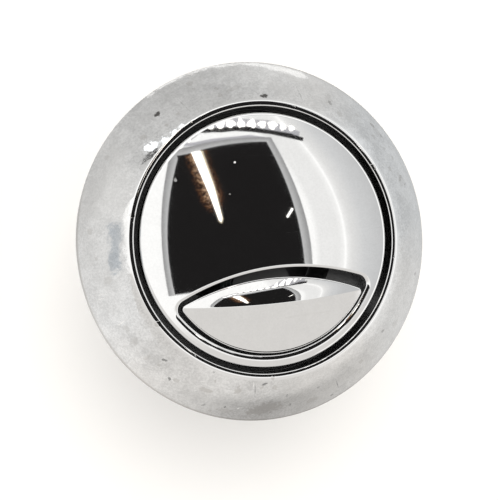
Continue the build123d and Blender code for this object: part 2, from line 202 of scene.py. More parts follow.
class MechanismSizes(bpy.types.PropertyGroup):
    """Sizes of the pieces under the buttons."""

    edge_softness: length("Edge softness", "Round on the edges of moulded pieces", 0.22)
    barrel_radius: length("Barrel radius", "Crest of the barrel's thread", 18.5)
    barrel_flat: length("Barrel flat", "Distance of the two flats from the axis", 17.6)
    barrel_pitch: length("Barrel pitch", "Pitch of the barrel's thread", 3.0)
    barrel_thread_depth: length("Barrel thread depth", "Depth of the barrel's thread", 0.62)
    barrel_thread_top: length("Barrel thread top", "Where the barrel's thread starts, on Z", -6.6)
    nut_bore: length("Nut bore", "Bore of the backnut", 18.75)
    rod_pitch: length("Rod pitch", "Pitch of the push rods' thread", 1.25)
    rod_thread_depth: length("Rod thread depth", "Depth of the push rods' thread", 0.4)
    spring_wire: length("Spring wire", "Thickness of the return springs' wire", 0.9)
    spring_turns: amount("Spring turns", "Turns of a return spring", 5.5)
    screw_head: length("Screw head", "Diameter of a screw's head", 4.2)
    screw_head_height: length("Screw head height", "Height of a screw's head", 1.6)
    seal_ribs: number("Seal ribs", "Ribs on each face of the seal", 3)


class FinishColours(bpy.types.PropertyGroup):
    """Colours of the finishes."""

    chrome: colour("Chrome", "Mirror chrome", 0.575, 0.575, 0.572)
    chrome_film: colour("Chrome film", "Chrome under a dried film of water", 0.49, 0.485, 0.475)
    # Colour of real stains and pits, and also of the painted shade along the cover's edge.
    chrome_stain_and_shade: colour("Chrome stain", "Chrome under a dark stain", 0.36, 0.35, 0.335)
    dust: colour("Dust", "Pale specks of dust on the buttons", 0.62, 0.61, 0.59)
    grey_dust: colour("Grey dust", "Dust on the moulded pieces", 0.46, 0.44, 0.41)
    dark_dust: colour("Dark dust", "Dust on the rubber", 0.12, 0.115, 0.11)
    soil: colour("Soil", "Specks that stick to the chrome", 0.03, 0.028, 0.026)
    body_plastic: colour("Body plastic", "Housing", 0.075, 0.075, 0.076)
    guide_plastic: colour("Guide plastic", "Carriers and guide plate", 0.085, 0.085, 0.086)
    washer_plastic: colour("Washer plastic", "Clamp washer", 0.58, 0.59, 0.58)
    nut_plastic: colour("Nut plastic", "Backnut", 0.77, 0.77, 0.74)
    full_rod_plastic: colour("Full flush rod plastic", "Push rod of the full flush", 0.30, 0.32, 0.33)
    half_rod_plastic: colour("Half flush rod plastic", "Push rod of the half flush", 0.03, 0.11, 0.32)
    seal_rubber: colour("Seal rubber", "Seal under the flange", 0.022, 0.022, 0.023)
    spring_steel: colour("Spring steel", "Springs and clips", 0.55, 0.55, 0.56)
    zinc_steel: colour("Zinc steel", "Screws", 0.62, 0.62, 0.60)


class StageSettings(bpy.types.PropertyGroup):
    """Camera, floor, light and the cards that the chrome reflects."""

    camera_place: vector(
        "Camera", "Place of the camera", (-66.574 * MM, 1.174 * MM, 240.98 * MM), "TRANSLATION"
    )
    camera_right: vector(
        "Camera right", "Direction to the right of the picture", (0.95547, -0.13753, 0.2611), "DIRECTION"
    )
    camera_up: vector(
        "Camera up", "Direction to the top of the picture", (0.13571, 0.99044, 0.02495), "DIRECTION"
    )
    lens: amount("Lens", "Focal length in millimetres", 88.0)
    floor: colour("Floor", "Pale floor", 0.75, 0.735, 0.715)
    room_light: amount("Room light", "Strength of the room's light", 1.0)
    lamp_place: vector("Lamp", "Place of the soft lamp", (-0.14, 0.27, 0.92), "TRANSLATION")
    lamp_size: length("Lamp size", "Diameter of the soft lamp", 420.0)
    lamp_power: amount("Lamp power", "Power of the soft lamp in watts", 4.7)
    lamp_tint: colour("Lamp tint", "Colour of the soft lamp", 1.0, 0.99, 0.97)
    card_height: length("Card height", "Height of the cards above the lid", 600.0)


class PushButtonSettings(bpy.types.PropertyGroup):
    """All the settings of the push button."""

    cover: PointerProperty(type=CoverSizes)
    buttons: PointerProperty(type=ButtonSizes)
    mechanism: PointerProperty(type=MechanismSizes)
    finish: PointerProperty(type=FinishColours)
    stage: PointerProperty(type=StageSettings)


def settings():
    """The scene's push button settings."""
    return bpy.context.scene.push_button


# Mesh helpers

FLAT_BELOW = 0.75
SAME_PLACE = 0.002 * MM
LEVEL_UNDER = radians(0.6)
BEVEL_OVER = radians(32)
SMOOTH_UNDER = radians(40)


def add_object(name, data):
    """New object at the origin with its data."""
    piece = bpy.data.objects.new(name, data)
    bpy.context.scene.collection.objects.link(piece)
    return piece


def place_piece(piece, body, material=None, replaced=()):
    """Give a finished piece its material and body, and hide the nodes that it stands for."""
    if material is not None:
        piece.data.materials.clear()
        piece.data.materials.append(material)
    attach(piece, body)
    if replaced:
        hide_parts(*replaced)


def between(first, second):
    """Corners of the faces that join two closed rings."""
    count = len(first)
    return [(first[i], first[(i + 1) % count], second[(i + 1) % count], second[i]) for i in range(count)]


def shade(mesh, normals):
    """Smooth shading with a known normal at each vertex, but flat corners where a face turns away."""
    corner_normals = []
    for polygon in mesh.polygons:
        polygon.use_smooth = True
        flat = polygon.normal.copy()
        for index in polygon.vertices:
            known = normals[index]
            corner_normals.append(known if known.dot(flat) > FLAT_BELOW else flat)
    mesh.normals_split_custom_set(corner_normals)


def skin(name, loops):
    """Closed mesh through loops of (point, normal) pairs, with the last loop joined to the first."""
    count = len(loops[0])
    rings = [range(k * count, (k + 1) * count) for k in range(len(loops))]
    faces = []
    for first, second in zip(rings, rings[1:] + rings[:1]):
        faces += between(first, second)
    pairs = [pair for loop in loops for pair in loop]
    mesh = bpy.data.meshes.new(name)
    mesh.from_pydata([point for point, normal in pairs], [], faces)
    mesh.validate()
    shade(mesh, [normal.normalized() for point, normal in pairs])
    return mesh


def arc(centre_r, centre_z, radius, start, end, steps):
    """Points (r, z, normal r, normal z) along an arc of a turned outline."""
    points = []
    for k in range(steps + 1):
        turn = start + (end - start) * k / steps
        points.append((centre_r + radius * cos(turn), centre_z + radius * sin(turn), cos(turn), sin(turn)))
    return points


def ring_loop(directions, r, z, normal_r, normal_z):
    """Level loop of (point, normal) pairs on a circle about the axis, in given directions."""
    return [(Vector((*(way * r), z)), Vector((*(way * normal_r), normal_z))) for way in directions]


def turned(name, outline, steps):
    """Closed turned mesh from an outline of (r, z, normal r, normal z)."""
    turns = [2 * pi * k / steps for k in range(steps)]
    directions = [Vector((cos(turn), sin(turn))) for turn in turns]
    return skin(name, [ring_loop(directions, *point) for point in outline])


def level_ring(work, radius, z, steps, centre_y=0.0):
    """Level ring of new vertices."""
    turns = [2 * pi * k / steps for k in range(steps)]
    return [work.verts.new((radius * cos(turn), centre_y + radius * sin(turn), z)) for turn in turns]


def bridge(work, rings):
    """New faces from each ring of vertices to the next."""
    for first, second in zip(rings, rings[1:]):
        for corners in between(first, second):
            work.faces.new(corners)


def sharpen(work, limit):
    """Smooth faces with hard edges where they meet at more than an angle."""
    for face in work.faces:
        face.smooth = True
    for edge in work.edges:
        edge.smooth = not edge.is_manifold or edge.calc_face_angle(0) < limit


def store(work, mesh, limit):
    """Write finished geometry to a mesh, facing outwards, with hard edges past an angle."""
    bmesh.ops.recalc_face_normals(work, faces=work.faces)
    sharpen(work, limit)
    work.to_mesh(mesh)
    work.free()
    return mesh


def softened(name, width, reshape=None):
    """Copy of a node's solid with rounded edges."""
    work = bmesh.new()
    work.from_mesh(frame["nodes"][name].data)
    bmesh.ops.remove_doubles(work, verts=work.verts, dist=SAME_PLACE)
    if reshape is not None:
        reshape(work)
    bmesh.ops.dissolve_limit(
        work, angle_limit=LEVEL_UNDER, use_dissolve_boundaries=False, verts=work.verts, edges=work.edges
    )
    hard = [edge for edge in work.edges if edge.is_manifold and edge.calc_face_angle(0) > BEVEL_OVER]
    bmesh.ops.bevel(
        work, geom=hard, offset=width, offset_type="OFFSET", segments=2, profile=0.5, affect="EDGES",
        clamp_overlap=True,
    )
    bmesh.ops.triangulate(work, faces=[face for face in work.faces if len(face.verts) > 4])
    sharpen(work, SMOOTH_UNDER)
    mesh = bpy.data.meshes.new(name)
    work.to_mesh(mesh)
    work.free()
    return mesh


# Node helpers

class Value:
    """Output of a node. Sums are written as plain sums, and the node's other outputs are found by name."""

    def __init__(self, socket):
        self.socket = socket
        self.tree = socket.id_data

    def __getitem__(self, label):
        return Value(self.socket.node.outputs[label])

    def __add__(self, other):
        return combine("ADD", self, other)

    def __radd__(self, other):
        return combine("ADD", other, self)

    def __sub__(self, other):
        return combine("SUBTRACT", self, other)

    def __rsub__(self, other):
        return combine("SUBTRACT", other, self)

    def __mul__(self, other):
        return combine("MULTIPLY", self, other)

    def __truediv__(self, other):
        return combine("DIVIDE", self, other)


def feed(socket, value):
    """Link a value to a socket, or set the socket to a plain number, vector or colour."""
    if isinstance(value, Value):
        value.tree.links.new(value.socket, socket)
    else:
        socket.default_value = value


def feed_all(sockets, **values):
    """Feed sockets by name, with underscores for spaces."""
    for label, value in values.items():
        feed(sockets[label.replace("_", " ")], value)


def node(tree, kind, **values):
    """First output of a new node. Names with a capital feed its inputs, other names are its settings."""
    made = tree.nodes.new(kind)
    for label, value in values.items():
        if label[0].isupper():
            feed(made.inputs[label.replace("_", " ")], value)
        else:
            setattr(made, label, value)
    return Value(made.outputs[0])


def combine(operation, first, second=0.0):
    """Math node on two numbers, at least one of them a value of the tree."""
    tree = first.tree if isinstance(first, Value) else second.tree
    made = tree.nodes.new("ShaderNodeMath")
    made.operation = operation
    feed(made.inputs[0], first)
    feed(made.inputs[1], second)
    return Value(made.outputs[0])


def vector_math(operation, *vectors):
    """Vector math node whose first vector is a value of the tree."""
    made = vectors[0].tree.nodes.new("ShaderNodeVectorMath")
    made.operation = operation
    for socket, vector in zip(made.inputs, vectors):
        feed(socket, vector)
    return Value(made.outputs[0])


def ramp(value, low, high, low_out=0.0, high_out=1.0):
    """Smooth step from one value to another."""
    return node(
        value.tree, "ShaderNodeMapRange", interpolation_type="SMOOTHSTEP", clamp=True, Value=value,
        From_Min=low, From_Max=high, To_Min=low_out, To_Max=high_out,
    )


def mix_colour(share, first, second):
    """Mix of two colours, each a value of the tree or a plain colour."""
    made = share.tree.nodes.new("ShaderNodeMix")
    made.data_type = "RGBA"
    feed(made.inputs["Factor"], share)
    sockets = [socket for socket in made.inputs if socket.type == "RGBA"]
    for socket, value in zip(sockets, (first, second)):
        feed(socket, value if isinstance(value, Value) else (*value, 1.0))
    return Value([socket for socket in made.outputs if socket.type == "RGBA"][0])


def toned(tint, tone):
    """Plain colour made lighter or darker."""
    return tuple(channel * tone for channel in tint)


def separate(place):
    """Value whose outputs X, Y and Z are a place's parts."""
    return node(place.tree, "ShaderNodeSeparateXYZ", Vector=place)


def object_place(tree):
    """Place on the piece, as its Object coordinates."""
    return node(tree, "ShaderNodeTexCoord")["Object"]


def noise(place, scale, detail=2.0, roughness=0.5, distortion=0.0):
    """Noise texture's value."""
    return node(
        place.tree, "ShaderNodeTexNoise", Vector=place, Scale=scale, Detail=detail, Roughness=roughness,
        Distortion=distortion,
    )


def bump(height, strength, depth):
    """Normal that a height bends."""
    return node(height.tree, "ShaderNodeBump", Strength=strength, Distance=depth, Height=height)


# Effects that more than one finish uses

def new_group(name, inputs, outputs):
    """Shader node group, with what is given to it and the sockets of its results."""
    group = bpy.data.node_groups.new(name, "ShaderNodeTree")
    for label, default in inputs.items():
        socket = group.interface.new_socket(label, in_out="INPUT", socket_type="NodeSocketFloat")
        socket.default_value = default
    for label in outputs:
        group.interface.new_socket(label, in_out="OUTPUT", socket_type="NodeSocketFloat")
    given = group.nodes.new("NodeGroupInput")
    return group, Value(given.outputs[0]), group.nodes.new("NodeGroupOutput").inputs


def use_group(tree, name, **values):
    """First output of a shared group, placed in a material with its own values."""
    return node(tree, "ShaderNodeGroup", node_tree=bpy.data.node_groups[name], **values)


def bent_place(place, scale, detail, reach):
    """Place moved a little by noise, which makes round cells uneven."""
    wobble = noise(place, scale, detail)
    return vector_math("MULTIPLY_ADD", wobble["Color"], (reach, reach, reach), place)


def build_water_marks():
    """Cloudy film and drying rims that hard water leaves on chrome."""
    group, given, result = new_group("Water marks", {"Scale": 120.0, "Amount": 0.5}, ["Film", "Rim"])
    place = object_place(group)
    clouds = noise(place, given["Scale"], 6.0, 0.62, 0.8)
    broad = noise(place, given["Scale"] * 0.3, 3.0, 0.5, 0.4)
    distance = node(
        group, "ShaderNodeTexVoronoi", feature="SMOOTH_F1", Smoothness=0.35, Scale=given["Scale"] * 1.6,
        Vector=bent_place(place, 420.0, 2.0, 1.8 * MM),
    )
    ring = ramp(distance, 0.20, 0.30) * ramp(distance, 0.42, 0.32)
    feed(result["Film"], ramp(clouds + broad * 0.6, 0.66, 1.06) * given["Amount"])
    feed(result["Rim"], ring * ramp(broad, 0.46, 0.62) * given["Amount"])


def build_specks():
    """Scattered specks and pits of different sizes."""
    group, given, result = new_group("Specks", {"Scale": 300.0, "Density": 0.2, "Size": 0.2}, ["Mask"])
    place = bent_place(object_place(group), 1500.0, 1.0, 0.9 * MM)
    cells = node(group, "ShaderNodeTexVoronoi", feature="F1", Vector=place, Scale=given["Scale"])
    chance = node(group, "ShaderNodeSeparateColor", Color=cells["Color"])
    chosen = combine("LESS_THAN", chance["Red"], given["Density"])
    size = given["Size"] * (chance["Green"] + 0.35)
    feed(result["Mask"], ramp(size - cells["Distance"], 0.0, 0.06) * chosen)


def build_fine_scratches():
    """Fine straight wipe marks in two directions."""
    group, given, result = new_group("Fine scratches", {"Scale": 60.0, "Amount": 1.0}, ["Mask"])
    place = object_place(group)
    ways = []
    for turn in (0.5, 1.9):
        drawn = node(
            group, "ShaderNodeMapping", Vector=place, Rotation=(0.2, 0.1, turn), Scale=(1.0, 28.0, 1.0)
        )
        ways.append(ramp(noise(drawn, given["Scale"], 3.0, 0.6), 0.66, 0.70))
    patches = ramp(noise(place, 70.0), 0.48, 0.62)
    feed(result["Mask"], combine("MAXIMUM", *ways) * patches * given["Amount"])


def build_moulded_grain():
    """Fine spark eroded grain, flow mottling and slight sinks of moulded plastic."""
    inputs = {"Grain": 2600.0, "Flow": 90.0}
    group, given, result = new_group("Moulded grain", inputs, ["Height", "Mottle", "Sheen"])
    place = object_place(group)
    fine = noise(place, given["Grain"], 3.0, 0.65)
    flow = noise(place, given["Flow"], 4.0, 0.55, 1.2)
    sink = noise(place, 160.0, 1.0, 0.4)
    feed(result["Height"], fine * 0.35 + sink * 0.65)
    feed(result["Mottle"], ramp(flow, 0.3, 0.7))
    feed(result["Sheen"], ramp(fine, 0.25, 0.75))


def build_handling_dust():
    """Grey dust that gathers in patches."""
    group, given, result = new_group("Handling dust", {"Scale": 150.0, "Amount": 0.3}, ["Mask"])
    place = object_place(group)
    patches = ramp(noise(place, given["Scale"], 5.0, 0.65, 0.6), 0.50, 0.78)
    crumbs = ramp(noise(place, 2200.0, 2.0, 0.7), 0.52, 0.70)
    feed(result["Mask"], (patches + crumbs * 0.4) * given["Amount"])


def build_wear_mark():
    """One worn spot at a place, stretched and turned, with a ragged edge."""
    inputs = {"X": 0.0, "Y": 0.0, "Size": 0.5, "Stretch": 1.0, "Turn": 0.0, "Ragged": 2.0}
    group, given, result = new_group("Wear mark", inputs, ["Mask"])
    place = object_place(group)
    parts = separate(place)
    across = parts["X"] / MM - given["X"]
    along = parts["Y"] / MM - given["Y"]
    turn_sin = combine("SINE", given["Turn"])
    turn_cos = combine("COSINE", given["Turn"])
    long_way = (across * turn_cos + along * turn_sin) / given["Stretch"]
    short_way = along * turn_cos - across * turn_sin
    squares = combine("POWER", long_way, 2.0) + combine("POWER", short_way, 2.0)
    distance = combine("SQRT", squares) / given["Size"]
    rough_edge = (noise(place, 1400.0, 3.0, 0.6) - 0.5) * given["Ragged"]
    feed(result["Mask"], ramp(distance + rough_edge, 1.0, 0.55))


# Finishes. Wear marks are (x, y, size, stretch, turn in degrees, strength), with lengths in millimetres

COVER_CHIPS = [
    (-17.6, 27.3, 0.62, 1.3, 35, 1.0), (3.7, 28.25, 0.46, 2.0, 5, 1.0), (17.9, 25.7, 0.4, 1.6, 110, 0.5),
    (27.3, 20.4, 0.4, 2.5, 120, 0.45), (28.9, 18.0, 0.35, 2.0, 130, 0.4), (31.2, 8.8, 0.5, 1.6, 60, 0.35),
    (32.4, 7.4, 0.3, 1.6, 60, 0.4), (32.4, -11.4, 0.35, 1.5, 60, 0.35), (22.6, -21.8, 0.3, 2.0, 30, 0.45),
    (-23.1, -20.5, 0.26, 2.2, 150, 0.7), (-22.4, -24.4, 0.28, 1.8, 110, 0.7),
    (-14.1, -23.9, 0.3, 2.0, 75, 0.4),
    (-4.3, -28.2, 0.3, 2.0, 10, 0.75), (-6.2, -29.0, 0.12, 15.0, 92, 0.5), (-11.9, -31.9, 0.24, 1.2, 0, 0.75),
    (1.4, -33.7, 0.3, 1.6, 80, 0.6), (0.5, -31.5, 0.22, 2.4, 85, 0.5), (11.8, -31.1, 0.13, 10.0, 118, 0.6),
    (7.3, -31.0, 0.22, 2.6, 10, 0.5), (11.1, -33.4, 0.2, 2.4, 20, 0.6), (-15.9, -30.8, 0.3, 1.8, 20, 0.45),
    (11.5, 28.2, 0.16, 12.0, 95, 0.3), (-12.5, 28.6, 0.1, 16.0, 118, 0.45),
]
COVER_STAINS = [
    (-3.8, -33.6, 1.5, 3.2, 4, 0.6), (-9.6, -28.7, 0.7, 1.5, 80, 0.6), (-15.8, -27.6, 0.5, 3.6, 155, 0.6),
    (6.3, -33.5, 0.7, 2.2, 12, 0.45), (-11.8, -32.7, 0.7, 2.8, -18, 0.35), (-31.8, -3.7, 0.8, 1.4, 70, 0.35),
    (-28.3, -16.1, 0.9, 1.2, 40, 0.35), (-29.4, -13.4, 0.5, 2.2, 120, 0.3),
    (-26.2, -19.6, 0.4, 2.0, 20, 0.35),
    (17.9, 26.5, 1.0, 1.8, 60, 0.3), (31.3, 8.5, 1.1, 1.6, 100, 0.3), (26.1, -20.9, 0.9, 1.4, 40, 0.3),
    (-2.0, 30.5, 0.6, 4.0, 20, 0.3), (28.0, 19.0, 0.7, 2.6, 125, 0.35),
]
COVER_DUST = [
    (-30.2, -12.1, 0.16, 7.0, 35, 0.5), (-21.7, -25.0, 0.14, 2.6, 120, 0.6), (-33.4, -6.2, 0.1, 9.0, 8, 0.4),
    (-33.2, -7.0, 0.1, 8.0, 10, 0.4), (-6.5, -28.0, 0.1, 8.0, 92, 0.45), (-9.3, -32.6, 0.14, 2.2, 20, 0.5),
]
BUTTON_DUST = [
    (-4.3, 15.8, 0.24, 1.0, 0, 0.7), (-6.2, 9.8, 0.16, 1.0, 0, 0.35), (-16.5, 13.9, 0.3, 1.5, 80, 0.15),
]


def place_marks(tree, marks):
    """Mask of all the wear marks in a list."""
    total = None
    for x, y, size, stretch, turn, strength in marks:
        mark = use_group(tree, "Wear mark", X=x, Y=y, Size=size, Stretch=stretch, Turn=radians(turn))
        mark = mark * strength
        total = mark if total is None else combine("MAXIMUM", total, mark)
    return total


def mottle(place):
    """Cloudy tone of worn chrome at three scales."""
    coarse = ramp(noise(place, 140.0, 4.0, 0.6, 1.2), 0.36, 0.64)
    middle = ramp(noise(place, 560.0, 3.0, 0.65, 0.6), 0.34, 0.66)
    fine = ramp(noise(place, 2300.0, 2.0, 0.6), 0.32, 0.68)
    return coarse * 0.40 + middle * 0.40 + fine * 0.65 - 0.2


def axis_distance(place):
    """Distance from the button's axis in millimetres."""
    flat = vector_math("MULTIPLY", place, (1 / MM, 1 / MM, 0.0))
    return vector_math("LENGTH", flat)["Value"]


def painted_rim_shade(place):
    """Painted shade: a dark line round the cover's edge, standing for the edge round reflecting the shadowed
    floor, which fades out at the back left where the edge is lit.
    """
    edge = ramp(axis_distance(place), 36.05, 36.4, 0.0, 0.78)
    back_left = vector_math("DOT_PRODUCT", place, (-0.5 / MM, 0.87 / MM, 0.0))["Value"]
    return edge * ramp(back_left, 24.0, 33.0, 1.0, 0.0)


def new_finish(name):
    """Tree of a new material, and the inputs of its Principled shader."""
    material = bpy.data.materials.new(name)
    material.use_nodes = True
    tree = material.node_tree
    return tree, tree.nodes["Principled BSDF"].inputs


def chrome(name, film_amount, pits, specks, dull, wear, clean_radius, chips=(), stains=(), dust=()):
    """Mirror chrome on plastic with dried water, pits, specks, wipe marks and the object's own wear; with
    stains, also a painted shade along the cover's edge.
    """
    finish = settings().finish
    tree, shader = new_finish(name)
    place = object_place(tree)
    worn = ramp(axis_distance(place), clean_radius, clean_radius + 0.7)
    water = use_group(tree, "Water marks", Scale=95.0, Amount=film_amount)
    film = combine("MAXIMUM", water["Film"], water["Rim"] * 0.7) * worn
    pit = use_group(tree, "Specks", Scale=420.0, Density=pits, Size=0.26)
    haze = use_group(tree, "Fine scratches", Scale=42.0, Amount=0.5)
    soil = use_group(tree, "Specks", Scale=150.0, Density=specks, Size=0.10)
    if chips:
        soil = combine("MAXIMUM", soil, place_marks(tree, chips))
    soil = soil * worn
    base = mix_colour(mottle(place) * worn, finish.chrome, toned(finish.chrome, 1 - wear))
    base = mix_colour(pit * 0.5, base, finish.chrome_stain_and_shade)
    base = mix_colour(combine("MAXIMUM", film, haze * 0.5), base, finish.chrome_film)
    if stains:
        base = mix_colour(place_marks(tree, stains), base, finish.chrome_stain_and_shade)
        # Painted shade along the cover's outer edge, in the stain colour, faded out at the back left where
        # the edge catches light.
        base = mix_colour(painted_rim_shade(place), base, finish.chrome_stain_and_shade)
    base = mix_colour(soil, base, finish.soil)
    if dust:
        pale = place_marks(tree, dust)
        base = mix_colour(pale, base, finish.dust)
        soil = combine("MAXIMUM", soil, pale)
    height = pit * -0.6 - soil + film * 0.25
    if stains:
        waves = (noise(place, 230.0, 3.0) - 0.5) * 15.0
        height = height + waves * worn
    feed_all(
        shader, Base_Color=base, Metallic=1.0 - soil, Normal=bump(height, 0.35, 0.02 * MM),
        Roughness=0.02 + worn * dull + film * 0.12 + haze * 0.08 + soil * 0.5,
    )


def moulded(name, tint, roughness, dust=0.12):
    """Moulded plastic with fine grain, flow marks and a little dust."""
    tree, shader = new_finish(name)
    grain = use_group(tree, "Moulded grain", Grain=2600.0, Flow=85.0)
    dusty = use_group(tree, "Handling dust", Scale=140.0, Amount=dust)
    body = mix_colour(grain["Mottle"], toned(tint, 0.86), tint)
    feed_all(
        shader, Base_Color=mix_colour(dusty, body, settings().finish.grey_dust), IOR=1.49,
        Roughness=roughness - 0.06 + grain["Sheen"] * 0.12 + dusty * 0.3,
        Normal=bump(grain["Height"], 0.25, 0.06 * MM),
    )


def rubber(name, tint):
    """Matt rubber with mould bloom."""
    tree, shader = new_finish(name)
    grain = use_group(tree, "Moulded grain", Grain=1900.0, Flow=120.0)
    dusty = use_group(tree, "Handling dust", Scale=210.0, Amount=0.35)
    body = mix_colour(grain["Mottle"], tint, toned(tint, 2.1))
    feed_all(
        shader, Base_Color=mix_colour(dusty, body, settings().finish.dark_dust),
        Roughness=ramp(grain["Sheen"], 0.0, 1.0, 0.55, 0.8), Normal=bump(grain["Height"], 0.4, 0.08 * MM),
    )


def steel(name, tint, roughness, line_scale):
    """Drawn or plated steel with fine lines and dull patches."""
    tree, shader = new_finish(name)
    lines = use_group(tree, "Fine scratches", Scale=line_scale, Amount=1.0)
    dusty = use_group(tree, "Handling dust", Scale=260.0, Amount=0.5)
    feed_all(
        shader, Base_Color=mix_colour(dusty, tint, toned(tint, 0.62)), Metallic=1.0,
        Roughness=roughness + lines * 0.15 + dusty * 0.2, Normal=bump(lines, 0.3, 0.02 * MM),
    )


def build_finishes():
    """Shared node groups, then one material for each finish."""
    build_water_marks()
    build_specks()
    build_fine_scratches()
    build_wear_mark()
    build_moulded_grain()
    build_handling_dust()
    finish = settings().finish
    chrome(
        "chrome_cover", film_amount=0.5, pits=0.36, specks=0.05, dull=0.05, wear=0.24, clean_radius=27.5,
        chips=COVER_CHIPS, stains=COVER_STAINS, dust=COVER_DUST,
    )
    chrome(
        "chrome_button", film_amount=0.05, pits=0.0, specks=0.0, dull=0.0, wear=0.05, clean_radius=-1.0,
        dust=BUTTON_DUST,
    )
    moulded("body_plastic_gloss", finish.body_plastic, 0.36, 0.02)
    moulded("guide_plastic_satin", finish.guide_plastic, 0.44, 0.03)
    moulded("washer_plastic_satin", finish.washer_plastic, 0.48)
    moulded("nut_plastic_satin", finish.nut_plastic, 0.45)
    moulded("full_rod_plastic_satin", finish.full_rod_plastic, 0.42)
    moulded("half_rod_plastic_satin", finish.half_rod_plastic, 0.40)
    rubber("seal_rubber_matt", finish.seal_rubber)
    steel("spring_steel_drawn", finish.spring_steel, 0.28, 90.0)
    steel("zinc_steel_plated", finish.zinc_steel, 0.34, 60.0)


SLOT_MATERIALS = {
    "chrome_plate": "chrome_button",
    "body_plastic": "body_plastic_gloss",
    "guide_plastic": "guide_plastic_satin",
    "washer_plastic": "washer_plastic_satin",
    "nut_plastic": "nut_plastic_satin",
    "full_rod_plastic": "full_rod_plastic_satin",
    "half_rod_plastic": "half_rod_plastic_satin",
    "seal_rubber": "seal_rubber_matt",
    "spring_steel": "spring_steel_drawn",
    "zinc_steel": "zinc_steel_plated",
}


def slot_material(slot):
    """Material that gives a record slot its finish."""
    return bpy.data.materials[SLOT_MATERIALS[slot]]


def node_slot(name):
    """Record slot of a CAD node."""
    for part in frame["record"]["subparts"]:
        if part["node"] == name:
            return part["material_slot"]
    raise RuntimeError(f"the record has no slot for {name}")


def node_body(name):
    """CAD body that a node rides on."""
    return frame["nodes"][name]["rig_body"]


# Cover and buttons

COVER_STEPS = 320
COVER_LOW_ROUND = 0.2 * MM
HOOK_STEPS = 6
HOOK_TIP = BEZEL_LOW.z + 0.2 * MM
HOOK_CATCH_TOP = 1.8 * MM
CAP_LOW_ROUND = 0.15 * MM
OVAL_TIP_STEPS = 24
OVAL_SIDE_STEPS = 176
DOME_ROWS = 44
EDGE_STEPS = 8
FACET_COLUMNS = 180
FACET_ROWS = (26, 5, 26)
TIP_MARGIN = 1e-9
POCKET_END = 0.3 * MM
RIM_MARGIN = 0.02 * MM
SLOPE_STEP = 0.02 * MM


def cover_outline():
    """Turned outline of the cover, with the normal at each point."""
    size = settings().cover
    bottom = BEZEL_LOW.z
    crown_r = size.well_radius + size.lip_inner_round
    crown_r += (size.lip_crown_radius - size.lip_inner_round) * sin(size.lip_lean)
    crown = Vector((crown_r, BEZEL_HIGH.z - size.lip_crown_radius))
    inward = Vector((-sin(size.lip_lean), cos(size.lip_lean)))
    outwards = Vector((sin(size.lip_outer_lean), cos(size.lip_outer_lean)))
    inner = crown + inward * (size.lip_crown_radius - size.lip_inner_round)
    outer = crown + outwards * (size.lip_crown_radius - size.lip_outer_round)
    lean = Vector((sin(size.lip_slope), cos(size.lip_slope)))
    leave = outer + lean * size.lip_outer_round
    edge = Vector((size.outer_radius, bottom + size.edge_height))
    chord = edge - leave
    flank = -chord.dot(chord) / (2 * chord.dot(lean))
    middle = leave - lean * flank
    corner_r = size.outer_radius - size.edge_round
    corner_z = middle.y + sqrt((flank - size.edge_round) ** 2 - (corner_r - middle.x) ** 2)
    corner_start = atan2(corner_z - middle.y, corner_r - middle.x)
    outline = [(size.well_radius, size.seat_height, -1, 0)]
    outline += arc(inner.x, inner.y, size.lip_inner_round, pi, pi / 2 + size.lip_lean, 10)
    crown_end = pi / 2 - size.lip_outer_lean
    outline += arc(crown.x, crown.y, size.lip_crown_radius, pi / 2 + size.lip_lean, crown_end, 12)[1:]
    outline += arc(outer.x, outer.y, size.lip_outer_round, crown_end, pi / 2 - size.lip_slope, 8)[1:]
    outline += arc(middle.x, middle.y, flank, pi / 2 - size.lip_slope, corner_start, 44)[1:]
    outline += arc(corner_r, corner_z, size.edge_round, corner_start, 0, 8)[1:]
    low_r = size.outer_radius - COVER_LOW_ROUND
    outline += arc(low_r, bottom + COVER_LOW_ROUND, COVER_LOW_ROUND, 0, -pi / 2, 4)
    hollow = flank - size.wall
    wall_r = size.well_radius + size.well_wall
    low = asin((bottom - middle.y) / hollow)
    high = acos((wall_r - middle.x) / hollow)
    for r, z, normal_r, normal_z in arc(middle.x, middle.y, hollow, low, high, 24):
        outline.append((r, z, -normal_r, -normal_z))
    outline.append((wall_r, size.seat_height, 1, 0))
    return outline, middle, hollow


def cover_hooks(middle, hollow):
    """Snap hooks that hang from the cover's hollow side."""
    size = settings().cover
    inner = size.hook_radius
    outer = inner + size.hook_thickness
    catch = inner - size.hook_catch

    def root(r):
        return middle.y + sqrt(hollow**2 - (r - middle.x) ** 2) + size.wall / 2

    outline = [
        (inner, root(inner)), (outer, root(outer)), (outer, HOOK_TIP), (inner, HOOK_TIP),
        (catch, (HOOK_TIP + HOOK_CATCH_TOP) / 2), (catch, HOOK_CATCH_TOP), (inner, HOOK_CATCH_TOP),
    ]
    work = bmesh.new()
    for hook in range(size.hook_count):
        start = hook * 2 * pi / size.hook_count
        rings = []
        for k in range(HOOK_STEPS + 1):
            turn = start + size.hook_angle * k / HOOK_STEPS
            rings.append([work.verts.new((r * cos(turn), r * sin(turn), z)) for r, z in outline])
        bridge(work, rings)
        work.faces.new(rings[0][::-1])
        work.faces.new(rings[-1])
    return store(work, bpy.data.meshes.new("cover_hooks"), radians(30))


def build_cover():
    """Cover ring with its snap hooks."""
    outline, middle, hollow = cover_outline()
    material = bpy.data.materials["chrome_cover"]
    ring = add_object("cover_ring", turned("cover_ring", outline, COVER_STEPS))
    place_piece(ring, node_body("bezel"), material, ["bezel"])
    hooks = add_object("cover_hooks", cover_hooks(middle, hollow))
    place_piece(hooks, node_body("bezel"), material)


